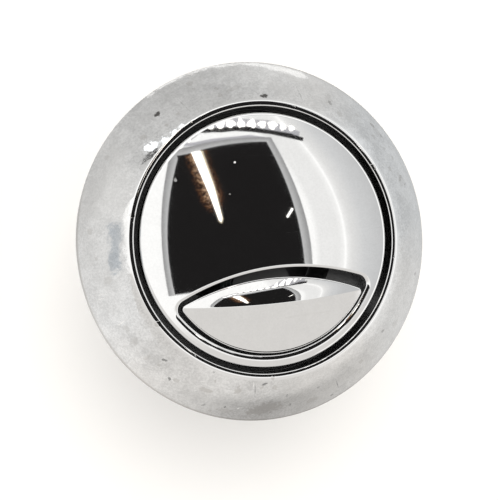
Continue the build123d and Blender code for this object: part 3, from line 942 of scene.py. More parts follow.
def oval_arcs(front_centre, front_radius, back_radius, tip_round):
    """Arcs of a pointed oval as (centre, radius, start, end, steps), from the right tip to the front."""
    size = settings().buttons
    back_centre = size.back_edge - size.back_radius
    front_reach = front_radius - tip_round
    back_reach = back_radius - tip_round
    tip_y = front_reach**2 - back_reach**2 - front_centre**2 + back_centre**2
    tip_y /= 2 * (back_centre - front_centre)
    tip_x = sqrt(front_reach**2 - (tip_y - front_centre) ** 2)
    front_turn = atan2(tip_y - front_centre, tip_x)
    back_turn = atan2(tip_y - back_centre, tip_x)
    return [
        (Vector((tip_x, tip_y)), tip_round, front_turn, back_turn, OVAL_TIP_STEPS),
        (Vector((0, back_centre)), back_radius, back_turn, pi - back_turn, OVAL_SIDE_STEPS),
        (Vector((-tip_x, tip_y)), tip_round, pi - back_turn, pi - front_turn, OVAL_TIP_STEPS),
        (Vector((0, front_centre)), front_radius, pi - front_turn, 2 * pi + front_turn, OVAL_SIDE_STEPS),
    ]


def oval_samples(arcs):
    """Evenly shared (centre, radius, angle) samples once round a pointed oval."""
    samples = []
    for centre, radius, start, end, steps in arcs:
        for k in range(steps):
            samples.append((centre, radius, start + (end - start) * k / steps))
    return samples


def outward(sample):
    """Direction out of a pointed oval at a sample."""
    return Vector((cos(sample[2]), sin(sample[2])))


def grown(sample, grow):
    """Point of a pointed oval at a sample, moved outwards."""
    return sample[0] + outward(sample) * (sample[1] + grow)


def crown_point(flat):
    """Point of the dome over a flat point, with its normal."""
    radius = settings().buttons.crown_radius
    centre_z = FULL_HIGH.z - radius
    z = centre_z + sqrt(radius**2 - flat.length_squared)
    return Vector((flat.x, flat.y, z)), Vector((flat.x, flat.y, z - centre_z)) / radius


def ray_to_circle(origin, through, radius):
    """Where a ray through a point meets a circle about the axis."""
    step = (through - origin).normalized()
    along = origin.dot(step)
    return origin + step * (-along + sqrt(along**2 - origin.length_squared + radius**2))


def opening_edge(sample, bottom):
    """Column of (point, normal) pairs up the opening's wall and over its round and roll to the dome."""
    size = settings().buttons
    edge = size.opening_edge_round
    tilt = size.opening_roll_tilt
    away = outward(sample).to_3d()
    roll = size.opening_roll_radius + (size.opening_back_roll - size.opening_roll_radius) * (1 + away.y) / 2
    up = Vector((0, 0, 1))
    centre_z = FULL_HIGH.z - size.crown_radius
    flat = grown(sample, edge + (roll - edge) * sin(tilt))
    middle = Vector((*flat, centre_z + sqrt((size.crown_radius - roll) ** 2 - flat.length_squared)))
    dome = (middle - Vector((0, 0, centre_z))).normalized()
    meet = up * cos(tilt) - away * sin(tilt)
    small = middle + meet * (roll - edge)
    column = [(Vector((*grown(sample, 0), bottom)), -away)]
    for k in range(EDGE_STEPS + 1):
        turn = pi / 2 + (tilt - pi / 2) * k / EDGE_STEPS
        side = up * cos(turn) - away * sin(turn)
        column.append((small + side * edge, side))
    for k in range(1, EDGE_STEPS + 1):
        side = meet.slerp(dome, k / EDGE_STEPS)
        column.append((middle + side * roll, side))
    return column


def full_flush_loops():
    """Loops of the full flush button, from the opening's wall over the dome and round the underside."""
    size = settings().buttons
    bottom = FULL_HIGH.z - size.cap_height
    outer = FULL_HIGH.x
    samples = oval_samples(oval_arcs(0, size.front_radius, size.back_radius, size.opening_tip_round))
    shoulder_r = outer - size.shoulder_round
    centre_z = FULL_HIGH.z - size.crown_radius
    shoulder_z = centre_z + sqrt((size.crown_radius - size.shoulder_round) ** 2 - shoulder_r**2)
    lean = atan2(shoulder_z - centre_z, shoulder_r)
    crown_edge = size.crown_radius * cos(lean)
    heart = Vector((0, size.crease))
    loops = [list(loop) for loop in zip(*(opening_edge(sample, bottom) for sample in samples))]
    inner = [point.xy for point, normal in loops[-1]]
    rim_points = [ray_to_circle(heart, point, crown_edge) for point in inner]
    directions = [point.normalized() for point in rim_points]
    for k in range(1, DOME_ROWS + 1):
        share = (k / DOME_ROWS) ** 1.25
        loops.append([crown_point(a.lerp(b, share)) for a, b in zip(inner, rim_points)])
    edge = arc(shoulder_r, shoulder_z, size.shoulder_round, lean, 0, 14)[1:]
    edge += arc(outer - CAP_LOW_ROUND, bottom + CAP_LOW_ROUND, CAP_LOW_ROUND, 0, -pi / 2, 3)
    loops += [ring_loop(directions, *point) for point in edge]
    return loops + full_flush_pocket(samples, directions, bottom)


def full_flush_pocket(samples, directions, bottom):
    """Loops of the hollow under the dome, which closes where the rims meet in front."""
    size = settings().buttons
    rim_r = FULL_HIGH.x - size.rim_width
    ceiling = bottom + size.pocket_depth
    down = Vector((0, 0, -1))
    loops = [[], [], [], []]
    for sample, direction in zip(samples, directions):
        wall = grown(sample, size.oval_rim_width)
        top = ceiling if wall.length < rim_r - POCKET_END else bottom
        outside = direction * max(rim_r, wall.length + RIM_MARGIN)
        places = ((outside, bottom), (outside, top), (wall, top), (wall, bottom))
        for loop, (flat, z) in zip(loops, places):
            loop.append((Vector((*flat, z)), down))
    return loops


def build_full_flush_button():
    """Domed cap with the pointed oval opening."""
    cap = add_object("full_flush_cap", skin("full_flush_cap", full_flush_loops()))
    material = bpy.data.materials["chrome_button"]
    place_piece(cap, node_body("full_flush_button"), material, ["full_flush_button"])


def oval_profile(y):
    """Height and slope of the half flush button's facets over the middle, at a place on Y."""
    size = settings().buttons
    crest_y = size.crease
    crest_z = HALF_HIGH.z - size.crest_round
    front_y = crest_y - size.crest_round * sin(size.front_slope)
    back_y = crest_y + size.crest_round * sin(size.back_start)
    if y <= front_y:
        z = crest_z + size.crest_round * cos(size.front_slope) + (y - front_y) * tan(size.front_slope)
        return z, tan(size.front_slope)
    if y < back_y:
        rise = sqrt(size.crest_round**2 - (y - crest_y) ** 2)
        return crest_z + rise, -(y - crest_y) / rise
    centre_y = back_y - size.back_facet_radius * sin(size.back_start)
    centre_z = crest_z + (size.crest_round - size.back_facet_radius) * cos(size.back_start)
    radius = size.back_facet_radius
    if y > centre_y + radius * sin(size.back_bend):
        centre_y -= (size.back_run_radius - radius) * sin(size.back_bend)
        centre_z -= (size.back_run_radius - radius) * cos(size.back_bend)
        radius = size.back_run_radius
    rise = sqrt(radius**2 - (y - centre_y) ** 2)
    return centre_z + rise, -(y - centre_y) / rise


def bow_reach(y, z):
    """Distance of a place over the middle from the leaning axis that both facets are bowed about."""
    size = settings().buttons
    return size.bow_radius - (y - size.crease) * sin(size.bow_tilt) + (z - HALF_HIGH.z) * cos(size.bow_tilt)


def bowed(x, y):
    """Where a place over the middle goes on Y, once it is bowed across to a place on X."""
    reach = bow_reach(y, oval_profile(y)[0])
    return y + (reach - sqrt(reach**2 - x**2)) * sin(settings().buttons.bow_tilt)


def facet_twist(x, y):
    """Rise of the back facet's slight twist over its bowed form."""
    size = settings().buttons
    run = max(0.0, y - bowed(x, size.crease))
    return tan(size.back_twist) / (10 * MM) * (x - size.twist_place) * run**2 / (run + size.twist_start)


def facet_point(x, y):
    """Point of the half flush button's bowed facets, with its normal."""
    tilt = settings().buttons.bow_tilt
    straight = y
    for _ in range(5):
        straight += y - bowed(x, straight)
    height, slope = oval_profile(straight)
    reach = bow_reach(straight, height)
    turn = asin(x / reach)
    along = (sin(tilt) - slope * cos(tilt)) / sqrt(1 + slope**2)
    across = (cos(tilt) + slope * sin(tilt)) / sqrt(1 + slope**2)
    normal = Vector((
        across * sin(turn),
        along * cos(tilt) - across * sin(tilt) * cos(turn),
        along * sin(tilt) + across * cos(tilt) * cos(turn),
    ))
    step = SLOPE_STEP
    rise_x = (facet_twist(x + step, y) - facet_twist(x - step, y)) / (2 * step)
    rise_y = (facet_twist(x, y + step) - facet_twist(x, y - step)) / (2 * step)
    normal -= Vector((rise_x, rise_y, 0)) * normal.z
    height += facet_twist(x, y) - reach * (1 - cos(turn)) * cos(tilt)
    return Vector((x, y, height)), normal.normalized()


def oval_sides(arcs):
    """Functions for a pointed oval's front and back edge at a place on X, its normal, and its half width."""
    (right, tip, front_turn, back_turn, _), (back, back_radius, *_), _, (front, front_radius, *_) = arcs
    half_width = right.x + tip
    front_end = front_radius * cos(front_turn)
    back_end = back_radius * cos(back_turn)

    def sides(x):
        reach = min(abs(x), half_width)
        bulge = sqrt(max(tip**2 - (reach - right.x) ** 2, 0))
        low = front.y - sqrt(front_radius**2 - reach**2) if reach < front_end else right.y - bulge
        high = back.y + sqrt(back_radius**2 - reach**2) if reach < back_end else right.y + bulge
        return low, high

    def side_normal(x, y):
        reach = abs(x)
        flip = Vector((-1, 1)) if x < 0 else Vector((1, 1))
        point = Vector((reach, y))
        if y < right.y and reach < front_end:
            return ((point - front) * flip).normalized()
        if y >= right.y and reach < back_end:
            return ((point - back) * flip).normalized()
        return ((point - right) * flip).normalized()

    return sides, side_normal, half_width


def facet_grid(sides, half_width):
    """Points and normals of the creased facets, in columns from the back edge to the front edge."""
    size = settings().buttons
    front_y = size.crease - size.crest_round * sin(size.front_slope)
    back_y = size.crease + size.crest_round * sin(size.back_start)
    grid = []
    for k in range(FACET_COLUMNS + 1):
        x = half_width * sin(pi / 2 * (2 * k / FACET_COLUMNS - 1))
        low, high = sides(x)
        crest = [min(max(bowed(x, y), low), high) for y in (back_y, front_y)]
        marks = (high, *crest, low)
        column = []
        for start, end, steps in zip(marks, marks[1:], FACET_ROWS):
            column += [start + (end - start) * step / steps for step in range(steps)]
        grid.append([facet_point(x, y) for y in column + [low]])
    return grid


def edge_loop(border, width, turn):
    """Loop on the rounded edge, turned over by an angle from the facets towards the wall."""
    loop = []
    for point, normal, side in border:
        flat = point.xy + side * width * sin(turn)
        drop = width * (1 - cos(turn))
        loop.append((Vector((*flat, point.z - drop)), normal * cos(turn) + side.to_3d() * sin(turn)))
    return loop


def wall_loop(border, move, z, down):
    """Level loop beside the border, with normals that point down or out of the wall."""
    loop = []
    for point, normal, side in border:
        facing = Vector((0, 0, -1)) if down else side.to_3d()
        loop.append((Vector((*(point.xy + side * move), z)), facing))
    return loop


def half_flush_mesh():
    """Creased cap: facets in columns, then its rounded edge, wall, rim and hollow."""
    size = settings().buttons
    width = size.oval_edge_round
    front_centre = size.front_gap - size.front_radius + size.oval_front_radius
    sides, side_normal, half_width = oval_sides(oval_arcs(
        front_centre, size.oval_front_radius - width, size.back_radius - size.back_gap - width,
        size.oval_tip_round - width,
    ))
    grid = facet_grid(sides, half_width)
    pairs = [pair for column in grid for pair in column]
    rows = len(grid[0])
    columns = [range(k * rows, (k + 1) * rows) for k in range(len(grid))]
    faces = []
    for left, right in zip(columns, columns[1:]):
        faces += between(left, right)[:-1]
    outline = [column[0] for column in columns[:-1]] + [column[-1] for column in columns[:0:-1]]
    outline.reverse()
    border = []
    for point, normal in (pairs[index] for index in outline):
        if abs(abs(point.x) - half_width) < TIP_MARGIN:
            side = Vector((1.0 if point.x > 0 else -1.0, 0.0))
        else:
            side = side_normal(point.x, point.y)
        border.append((point, normal, side))
    bottom = FULL_HIGH.z - size.cap_height
    inset = width - size.oval_rim_width
    loops = [edge_loop(border, width, pi / 2 * k / EDGE_STEPS) for k in range(1, EDGE_STEPS + 1)]
    loops.append(wall_loop(border, width, bottom + CAP_LOW_ROUND, False))
    loops.append(wall_loop(border, width - CAP_LOW_ROUND, bottom, True))
    loops.append(wall_loop(border, inset, bottom, True))
    loops.append(wall_loop(border, inset, bottom + size.pocket_depth, True))
    last = outline
    for loop in loops:
        here = range(len(pairs), len(pairs) + len(loop))
        faces += between(last, here)
        pairs += loop
        last = here
    faces.append(tuple(last))
    stem = Vector((0, size.half_stem, 0))
    turn = Matrix.Rotation(size.half_turn, 3, "Z")
    mesh = bpy.data.meshes.new("half_flush_cap")
    mesh.from_pydata([turn @ (point - stem) + stem for point, normal in pairs], [], faces)
    shade(mesh, [turn @ normal.normalized() for point, normal in pairs])
    return mesh


def build_half_flush_button():
    """Creased pointed oval cap."""
    cap = add_object("half_flush_cap", half_flush_mesh())
    material = bpy.data.materials["chrome_button"]
    place_piece(cap, node_body("half_flush_button"), material, ["half_flush_button"])


# Moulded pieces

BARREL_START = -5.9 * MM
CREST_MARGIN = 0.02 * MM
FLAT_MARGIN = 0.01 * MM
CLIP_SOFTNESS = 0.35
SEAL_INNER = 27.5 * MM
SEAL_ROUND = 0.45 * MM
SEAL_RIB = 0.22 * MM
SEAL_STEPS = 192
SOFT_PIECES = [
    "guide_plate", "full_flush_carrier", "half_flush_carrier", "clamp_washer", "backnut",
    "full_rod_locknut", "half_rod_locknut", "full_rod_foot", "half_rod_foot",
    "full_retaining_clip", "half_retaining_clip",
]


def open_barrel_thread(work):
    """Take the barrel's outside down to the thread's root, and slide its corners along the flats."""
    size = settings().mechanism
    root = size.barrel_radius - size.barrel_thread_depth
    corner = sqrt(root**2 - size.barrel_flat**2)
    for vert in work.verts:
        if vert.co.z > BARREL_START or not root < vert.co.xy.length < size.barrel_radius + CREST_MARGIN:
            continue
        if abs(vert.co.x) > size.barrel_flat - FLAT_MARGIN:
            vert.co.y = corner if vert.co.y > 0 else -corner
        else:
            vert.co.xy = vert.co.xy.normalized() * root


def build_moulded_pieces():
    """Moulded and pressed pieces with softened edges."""
    width = settings().mechanism.edge_softness
    housing = add_object("housing_body", softened("housing", width, open_barrel_thread))
    place_piece(housing, "fixed", slot_material("body_plastic"), ["housing"])
    for name in SOFT_PIECES:
        piece_width = CLIP_SOFTNESS * width if name.endswith("clip") else width
        piece = add_object(f"{name}_soft", softened(name, piece_width))
        slot = node_slot(name)
        place_piece(piece, node_body(name), slot_material(slot), [name])


def seal_face(side, z):
    """Ribs on one face of the seal, from the outside in on top and from the inside out below."""
    count = settings().mechanism.seal_ribs
    start = SEAL_INNER + SEAL_ROUND
    pitch = (SEAL_HIGH.x - SEAL_ROUND - start) / count
    outline = []
    for k in range(count):
        step = k if side < 0 else count - 1 - k
        middle = start + pitch * (step + 0.5)
        for share in (-0.5, -0.25, 0.0, 0.25, 0.5):
            dip = SEAL_RIB * sin(pi * abs(share)) ** 2
            outline.append((middle - share * pitch * side, z - side * dip, 0, side))
    return outline


def build_lid_seal():
    """Rubber ring with rounded edges and ribs on both faces."""
    inner = SEAL_INNER + SEAL_ROUND
    outer = SEAL_HIGH.x - SEAL_ROUND
    low = SEAL_LOW.z + SEAL_ROUND
    high = SEAL_HIGH.z - SEAL_ROUND
    outline = arc(outer, low, SEAL_ROUND, -pi / 2, 0, 5)
    outline += arc(outer, high, SEAL_ROUND, 0, pi / 2, 5)
    outline += seal_face(1, SEAL_HIGH.z)
    outline += arc(inner, high, SEAL_ROUND, pi / 2, pi, 5)
    outline += arc(inner, low, SEAL_ROUND, pi, 3 * pi / 2, 5)
    outline += seal_face(-1, SEAL_LOW.z)
    ring = add_object("lid_seal_ring", turned("lid_seal_ring", outline, SEAL_STEPS))
    place_piece(ring, "fixed", slot_material("seal_rubber"), ["lid_seal"])


# Geometry Nodes: threads, springs and screws

THREAD_SINK = 0.04 * MM
BARREL_PLAIN_END = 0.9 * MM
NUT_PLAIN_END = 1.2 * MM
ROD_SINK = 0.03 * MM
ROD_CHAMFER = 0.3 * MM
ROD_PLAIN_END = 1.5 * MM
ROD_STEPS = 48
CLOSED_ENDS = ((0.16, 0.072), (0.30, 0.21), (0.70, 0.79), (0.84, 0.928))


def new_tree(name, inputs):
    """Geometry node tree with inputs as (socket type, default), what is given to it, and its result."""
    tree = bpy.data.node_groups.new(name, "GeometryNodeTree")
    for label, (kind, default) in inputs.items():
        socket = tree.interface.new_socket(label, in_out="INPUT", socket_type=kind)
        if default is not None:
            socket.default_value = default
    tree.interface.new_socket("Geometry", in_out="OUTPUT", socket_type="NodeSocketGeometry")
    given = tree.nodes.new("NodeGroupInput")
    return tree, Value(given.outputs[0]), tree.nodes.new("NodeGroupOutput").inputs[0]


def grow_piece(name, tree, values):
    """Plain mesh object from a geometry node tree with its inputs set by name."""
    holder = add_object(name, bpy.data.meshes.new(name))
    modifier = holder.modifiers.new(name, "NODES")
    modifier.node_group = tree
    identifiers = {item.name: item.identifier for item in tree.interface.items_tree if item.in_out == "INPUT"}
    for label, value in values.items():
        modifier[identifiers[label]] = value
    bpy.context.view_layer.update()
    evaluated = holder.evaluated_get(bpy.context.evaluated_depsgraph_get())
    mesh = bpy.data.meshes.new_from_object(evaluated)
    mesh.name = name
    holder.modifiers.remove(modifier)
    holder.data = mesh
    return holder


def length_input(millimetres):
    """Length input for a geometry node tree."""
    return ("NodeSocketFloat", millimetres * MM)


def finish_tree(geometry, material, result):
    """End of every tree: real geometry with its material."""
    real = node(geometry.tree, "GeometryNodeRealizeInstances", Geometry=geometry)
    feed(result, node(geometry.tree, "GeometryNodeSetMaterial", Geometry=real, Material=material))


def ridge_tree():
    """Helical ridge with a trapezoid section, tapered ends and two flats."""
    tree, given, result = new_tree("Helical ridge", {
        "Radius": length_input(18.0), "Pitch": length_input(3.0), "Turns": ("NodeSocketFloat", 8.0),
        "Base Height": length_input(-30.0), "Depth": length_input(0.6), "Base Width": length_input(1.9),
        "Crest Width": length_input(0.9), "Flat": length_input(100.0), "Steps": ("NodeSocketInt", 64),
        "Centre Y": length_input(0.0), "Material": ("NodeSocketMaterial", None),
    })
    helix = node(
        tree, "GeometryNodeCurveSpiral", Reverse=True, Resolution=given["Steps"], Rotations=given["Turns"],
        Start_Radius=given["Radius"], End_Radius=given["Radius"], Height=given["Pitch"] * given["Turns"],
    )
    upright = node(tree, "GeometryNodeSetCurveNormal", mode="Z_UP", Curve=helix)
    corners = {}
    for label, reach, width, side in (
        ("Point 1", 0.0, "Base Width", -0.5), ("Point 2", given["Depth"], "Crest Width", -0.5),
        ("Point 3", given["Depth"], "Crest Width", 0.5), ("Point 4", 0.0, "Base Width", 0.5),
    ):
        corners[label] = node(tree, "ShaderNodeCombineXYZ", X=reach, Y=given[width] * side)
    section = node(tree, "GeometryNodeCurvePrimitiveQuadrilateral", mode="POINTS", **corners)
    along = node(tree, "GeometryNodeSplineParameter")["Factor"]
    turns_in = combine("MINIMUM", along, 1.0 - along) * given["Turns"]
    taper = combine("MAXIMUM", combine("MINIMUM", turns_in * 4.0, 1.0), 0.02)
    solid = node(
        tree, "GeometryNodeCurveToMesh", Fill_Caps=True, Curve=upright, Profile_Curve=section, Scale=taper
    )
    place = separate(node(tree, "GeometryNodeInputPosition"))
    limited = combine("MAXIMUM", combine("MINIMUM", place["X"], given["Flat"]), given["Flat"] * -1.0)
    moved = node(
        tree, "ShaderNodeCombineXYZ", X=limited, Y=place["Y"] + given["Centre Y"],
        Z=place["Z"] + given["Base Height"],
    )
    shifted = node(tree, "GeometryNodeSetPosition", Geometry=solid, Position=moved)
    finish_tree(shifted, given["Material"], result)
    return tree


def harden(piece, limit):
    """Smooth shading with hard edges on a finished mesh."""
    work = bmesh.new()
    work.from_mesh(piece.data)
    store(work, piece.data, limit)


def build_threads():
    """Threads of the barrel, the backnut and the push rods."""
    size = settings().mechanism
    pitch = size.barrel_pitch
    tree = ridge_tree()
    bottom = HOUSING_LOW.z + BARREL_PLAIN_END
    barrel = grow_piece("barrel_thread", tree, {
        "Radius": size.barrel_radius - size.barrel_thread_depth - THREAD_SINK, "Pitch": pitch,
        "Turns": (size.barrel_thread_top - bottom) / pitch, "Base Height": bottom,
        "Depth": size.barrel_thread_depth, "Base Width": 0.62 * pitch, "Crest Width": 0.30 * pitch,
        "Flat": size.barrel_flat - THREAD_SINK, "Steps": 96, "Material": slot_material("body_plastic"),
    })
    harden(barrel, radians(25))
    place_piece(barrel, "fixed")
    start = bottom + pitch / 2
    start += pitch * int((NUT_LOW.z + NUT_PLAIN_END - start) / pitch + 1)
    nut = grow_piece("backnut_thread", tree, {
        "Radius": size.nut_bore + THREAD_SINK, "Pitch": pitch,
        "Turns": int((NUT_HIGH.z - NUT_LOW.z) / pitch) - 0.4, "Base Height": start,
        "Depth": -size.barrel_thread_depth, "Base Width": 0.5 * pitch, "Crest Width": 0.24 * pitch,
        "Steps": 96, "Material": slot_material("nut_plastic"),
    })
    harden(nut, radians(25))
    place_piece(nut, "backnut")
    for name in ("full", "half"):
        build_rod(name, tree)


def build_rod(name, tree):
    """Threaded push rod: a plain core with chamfered ends and a ridge along it."""
    size = settings().mechanism
    pitch = size.rod_pitch
    low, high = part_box(f"{name}_push_rod")
    centre_y = (low.y + high.y) / 2
    root = high.x - size.rod_thread_depth
    slot = f"{name}_rod_plastic"
    work = bmesh.new()
    rings = []
    for r, z in (
        (root - ROD_CHAMFER, low.z), (root, low.z + ROD_CHAMFER),
        (root, high.z - ROD_CHAMFER), (root - ROD_CHAMFER, high.z),
    ):
        rings.append(level_ring(work, r, z, ROD_STEPS, centre_y))
    bridge(work, rings)
    work.faces.new(rings[0][::-1])
    work.faces.new(rings[-1])
    ridge = grow_piece(f"{name}_rod_ridge", tree, {
        "Radius": root - ROD_SINK, "Pitch": pitch, "Turns": (high.z - low.z - 2 * ROD_PLAIN_END) / pitch,
        "Base Height": low.z + ROD_PLAIN_END, "Depth": size.rod_thread_depth, "Base Width": 0.8 * pitch,
        "Crest Width": 0.25 * pitch, "Steps": 28, "Centre Y": centre_y, "Material": slot_material(slot),
    })
    work.from_mesh(ridge.data)
    bpy.data.objects.remove(ridge)
    mesh = store(work, bpy.data.meshes.new(f"{name}_threaded_rod"), radians(25))
    rod = add_object(f"{name}_threaded_rod", mesh)
    place_piece(rod, f"{name}_flush", slot_material(slot), [f"{name}_push_rod"])


def spring_tree():
    """Round wire spring with closed ends."""
    tree, given, result = new_tree("Return spring", {
        "Radius": length_input(5.4), "Wire": length_input(0.9), "Height": length_input(12.3),
        "Turns": ("NodeSocketFloat", 5.5), "Base Height": length_input(0.0), "Centre Y": length_input(0.0),
        "Material": ("NodeSocketMaterial", None),
    })
    helix = node(
        tree, "GeometryNodeCurveSpiral", Resolution=56, Reverse=True, Height=0.0, Rotations=given["Turns"],
        Start_Radius=given["Radius"], End_Radius=given["Radius"],
    )
    rise = node(tree, "ShaderNodeFloatCurve", Value=node(tree, "GeometryNodeSplineParameter")["Factor"])
    mapping = rise.socket.node.mapping
    points = mapping.curves[0].points
    points[0].location = (0.0, 0.0)
    points[1].location = (1.0, 1.0)
    for share, height in CLOSED_ENDS:
        points.new(share, height)
    mapping.update()
    half_wire = given["Wire"] * 0.5
    lift = rise * (given["Height"] - given["Wire"]) + given["Base Height"] + half_wire
    offset = node(tree, "ShaderNodeCombineXYZ", Y=given["Centre Y"], Z=lift)
    raised = node(tree, "GeometryNodeSetPosition", Geometry=helix, Offset=offset)
    section = node(tree, "GeometryNodeCurvePrimitiveCircle", Resolution=14, Radius=half_wire)
    wire = node(tree, "GeometryNodeCurveToMesh", Fill_Caps=True, Curve=raised, Profile_Curve=section)
    finish_tree(wire, given["Material"], result)
    return tree


def build_springs():
    """Return springs under both carriers."""
    size = settings().mechanism
    tree = spring_tree()
    for name in ("full", "half"):
        low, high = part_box(f"{name}_return_spring")
        height = high.z - low.z
        centre_y = (low.y + high.y) / 2
        spring = grow_piece(f"{name}_spring_coil", tree, {
            "Radius": (high.x - low.x) / 2 - size.spring_wire / 2, "Wire": size.spring_wire, "Height": height,
            "Turns": size.spring_turns, "Base Height": low.z, "Centre Y": centre_y,
            "Material": slot_material("spring_steel"),
        })
        harden(spring, radians(50))
        place_piece(spring, "fixed", None, [f"{name}_return_spring"])
        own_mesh(spring)


def screw_mesh():
    """One screw with a domed head, a cross recess and a plain shank, its head facing down."""
    size = settings().mechanism
    head = size.screw_head / 2
    tall = size.screw_head_height
    reach = SCREWS_HIGH.z - SCREWS_LOW.z
    shank = 0.95 * MM
    point = 0.2 * MM
    point_height = 0.5 * MM
    slot = 0.26 * MM
    slot_edge = 0.12 * MM
    arm = 0.62 * head
    arm_edge = 0.25 * MM
    steps = 64
    rows = 22

    def face_depth(x, y):
        dome = 0.35 * tall * ((x * x + y * y) / head**2) ** 1.5
        wide = min(max((slot - min(abs(x), abs(y))) / slot_edge, 0), 1)
        inside = min(max((arm - max(abs(x), abs(y))) / arm_edge, 0), 1)
        return dome + 0.55 * tall * wide * inside

    work = bmesh.new()
    centre = work.verts.new((0, 0, face_depth(0, 0)))
    rings = []
    for r in [head * k / rows for k in range(1, rows)] + [head * 0.985]:
        ring = level_ring(work, r, 0.0, steps)
        for vert in ring:
            vert.co.z = face_depth(vert.co.x, vert.co.y)
        rings.append(ring)
    for r, z in (
        (head, 0.45 * tall), (head, tall), (shank, tall), (shank, reach - point_height), (point, reach)
    ):
        rings.append(level_ring(work, r, z, steps))
    for i in range(steps):
        work.faces.new((centre, rings[0][(i + 1) % steps], rings[0][i]))
    bridge(work, rings)
    work.faces.new(rings[-1])
    return store(work, bpy.data.meshes.new("cross_recess_screw"), radians(38))


def screw_tree():
    """A screw at both ends of a line."""
    tree, given, result = new_tree("Plate screws", {
        "Screw": ("NodeSocketObject", None), "Reach": length_input(14.25), "Place Y": length_input(-1.5),
        "Base Height": length_input(-15.6), "Turn": ("NodeSocketFloat", 0.5),
        "Material": ("NodeSocketMaterial", None),
    })
    ends = {}
    for label, side in (("Start Location", -1.0), ("Offset", 1.0)):
        ends[label] = node(
            tree, "ShaderNodeCombineXYZ", X=given["Reach"] * side, Y=given["Place Y"], Z=given["Base Height"]
        )
    line = node(tree, "GeometryNodeMeshLine", mode="END_POINTS", Count=2, **ends)
    screw = node(tree, "GeometryNodeObjectInfo", As_Instance=True, Object=given["Screw"])["Geometry"]
    number = node(tree, "GeometryNodeInputIndex")
    turn = node(tree, "ShaderNodeCombineXYZ", Z=(number + 0.6) * given["Turn"])
    placed = node(tree, "GeometryNodeInstanceOnPoints", Points=line, Instance=screw, Rotation=turn)
    finish_tree(placed, given["Material"], result)
    return tree


def build_screws():
    """The guide plate's two screws."""
    size = settings().mechanism
    pattern = add_object("screw_pattern", screw_mesh())
    screws = grow_piece("guide_plate_screw_pair", screw_tree(), {
        "Screw": pattern, "Reach": SCREWS_HIGH.x - size.screw_head / 2,
        "Place Y": (SCREWS_LOW.y + SCREWS_HIGH.y) / 2, "Base Height": SCREWS_LOW.z,
        "Material": slot_material("zinc_steel"),
    })
    bpy.data.objects.remove(pattern)
    place_piece(screws, "fixed", None, ["guide_plate_screws"])


# Stage: tones of the room, and cards in millimetres that only reflections see

NEUTRAL = (1.0, 0.995, 0.985)
WARM = (1.0, 0.975, 0.945)
COOL = (0.965, 0.985, 1.0)
PLAIN = (0.985, 0.992, 1.0)
FULL_TONE = 2.0
CURVE_REACH = 283.5
CURVE_MIDDLE = -8.0
CURVE_BEND = 0.0028
CURVE_FIELD = 200.0
CURVE_STOP = 0.41
CEILING_TONES = [
    (0.00, 1.75, NEUTRAL), (0.18, 1.75, NEUTRAL), (0.22, 1.47, NEUTRAL), (0.36, 1.46, NEUTRAL),
    (0.395, 1.60, NEUTRAL), (CURVE_STOP, 1.85, NEUTRAL), (0.425, 1.50, NEUTRAL), (0.46, 1.32, NEUTRAL),
    (0.56, 1.12, PLAIN), (0.72, 0.96, PLAIN), (1.00, 0.92, PLAIN),
]
ROOM_TONES = [
    (-180, 1.36, NEUTRAL), (-154, 1.42, NEUTRAL), (-128, 1.22, WARM), (-105, 1.34, WARM), (-84, 1.18, WARM),
    (-64, 1.28, WARM), (-47, 1.42, WARM), (-30, 1.50, NEUTRAL), (-15, 1.37, NEUTRAL), (0, 1.25, COOL),
    (15, 1.14, COOL), (30, 1.32, COOL), (46, 1.18, NEUTRAL), (64, 1.12, NEUTRAL), (84, 0.93, NEUTRAL),
    (106, 1.04, NEUTRAL), (128, 1.03, NEUTRAL), (138, 1.30, NEUTRAL), (154, 1.36, NEUTRAL),
    (180, 1.36, NEUTRAL),
]
LOW_TONES = [
    (-180, 1.08, NEUTRAL), (-154, 1.30, NEUTRAL), (-130, 1.20, WARM), (-106, 0.96, WARM), (-92, 0.70, WARM),
    (-80, 0.60, WARM), (-64, 0.74, WARM), (-46, 0.90, WARM), (-30, 1.04, NEUTRAL), (-15, 1.00, NEUTRAL),
    (0, 0.91, COOL), (14, 0.88, COOL), (29, 0.88, COOL), (46, 0.98, NEUTRAL), (66, 1.04, NEUTRAL),
    (85, 0.80, NEUTRAL), (106, 0.80, NEUTRAL), (130, 0.94, NEUTRAL), (155, 0.95, NEUTRAL),
    (180, 1.08, NEUTRAL),
]
BLACK = (0.021, 0.020, 0.020)
PLAIN_GLOWS = {
    "panel_black": (BLACK, 1.0),
    "bar_grey": ((0.93, 0.92, 0.97), 0.85),
    "lamp_white": ((1.0, 0.97, 0.92), 4.0),
    "strip_cream": ((1.0, 0.86, 0.62), 1.3),
    "lamp_cold": ((0.94, 0.97, 1.0), 3.0),
    "floor_glint": (NEUTRAL, 1.75),
    "patch_blue_grey": ((0.90, 0.95, 1.0), 0.98),
}
PANEL_SIDES = [
    ((72, 113), (131, 126), (190, 120)), ((190, 120), (224, 34), (216, -56)),
    ((216, -56), (130, -56), (43, -54)), ((43, -54), (33, 30), (72, 113)),
]
FRAME_SIDES = [
    ((64, 120), (131, 133), (197, 125)), ((197, 125), (240, 24), (226, -57)),
    ((226, -57), (130, -57), (35, -55)), ((35, -55), (28, 43), (64, 120)),
]
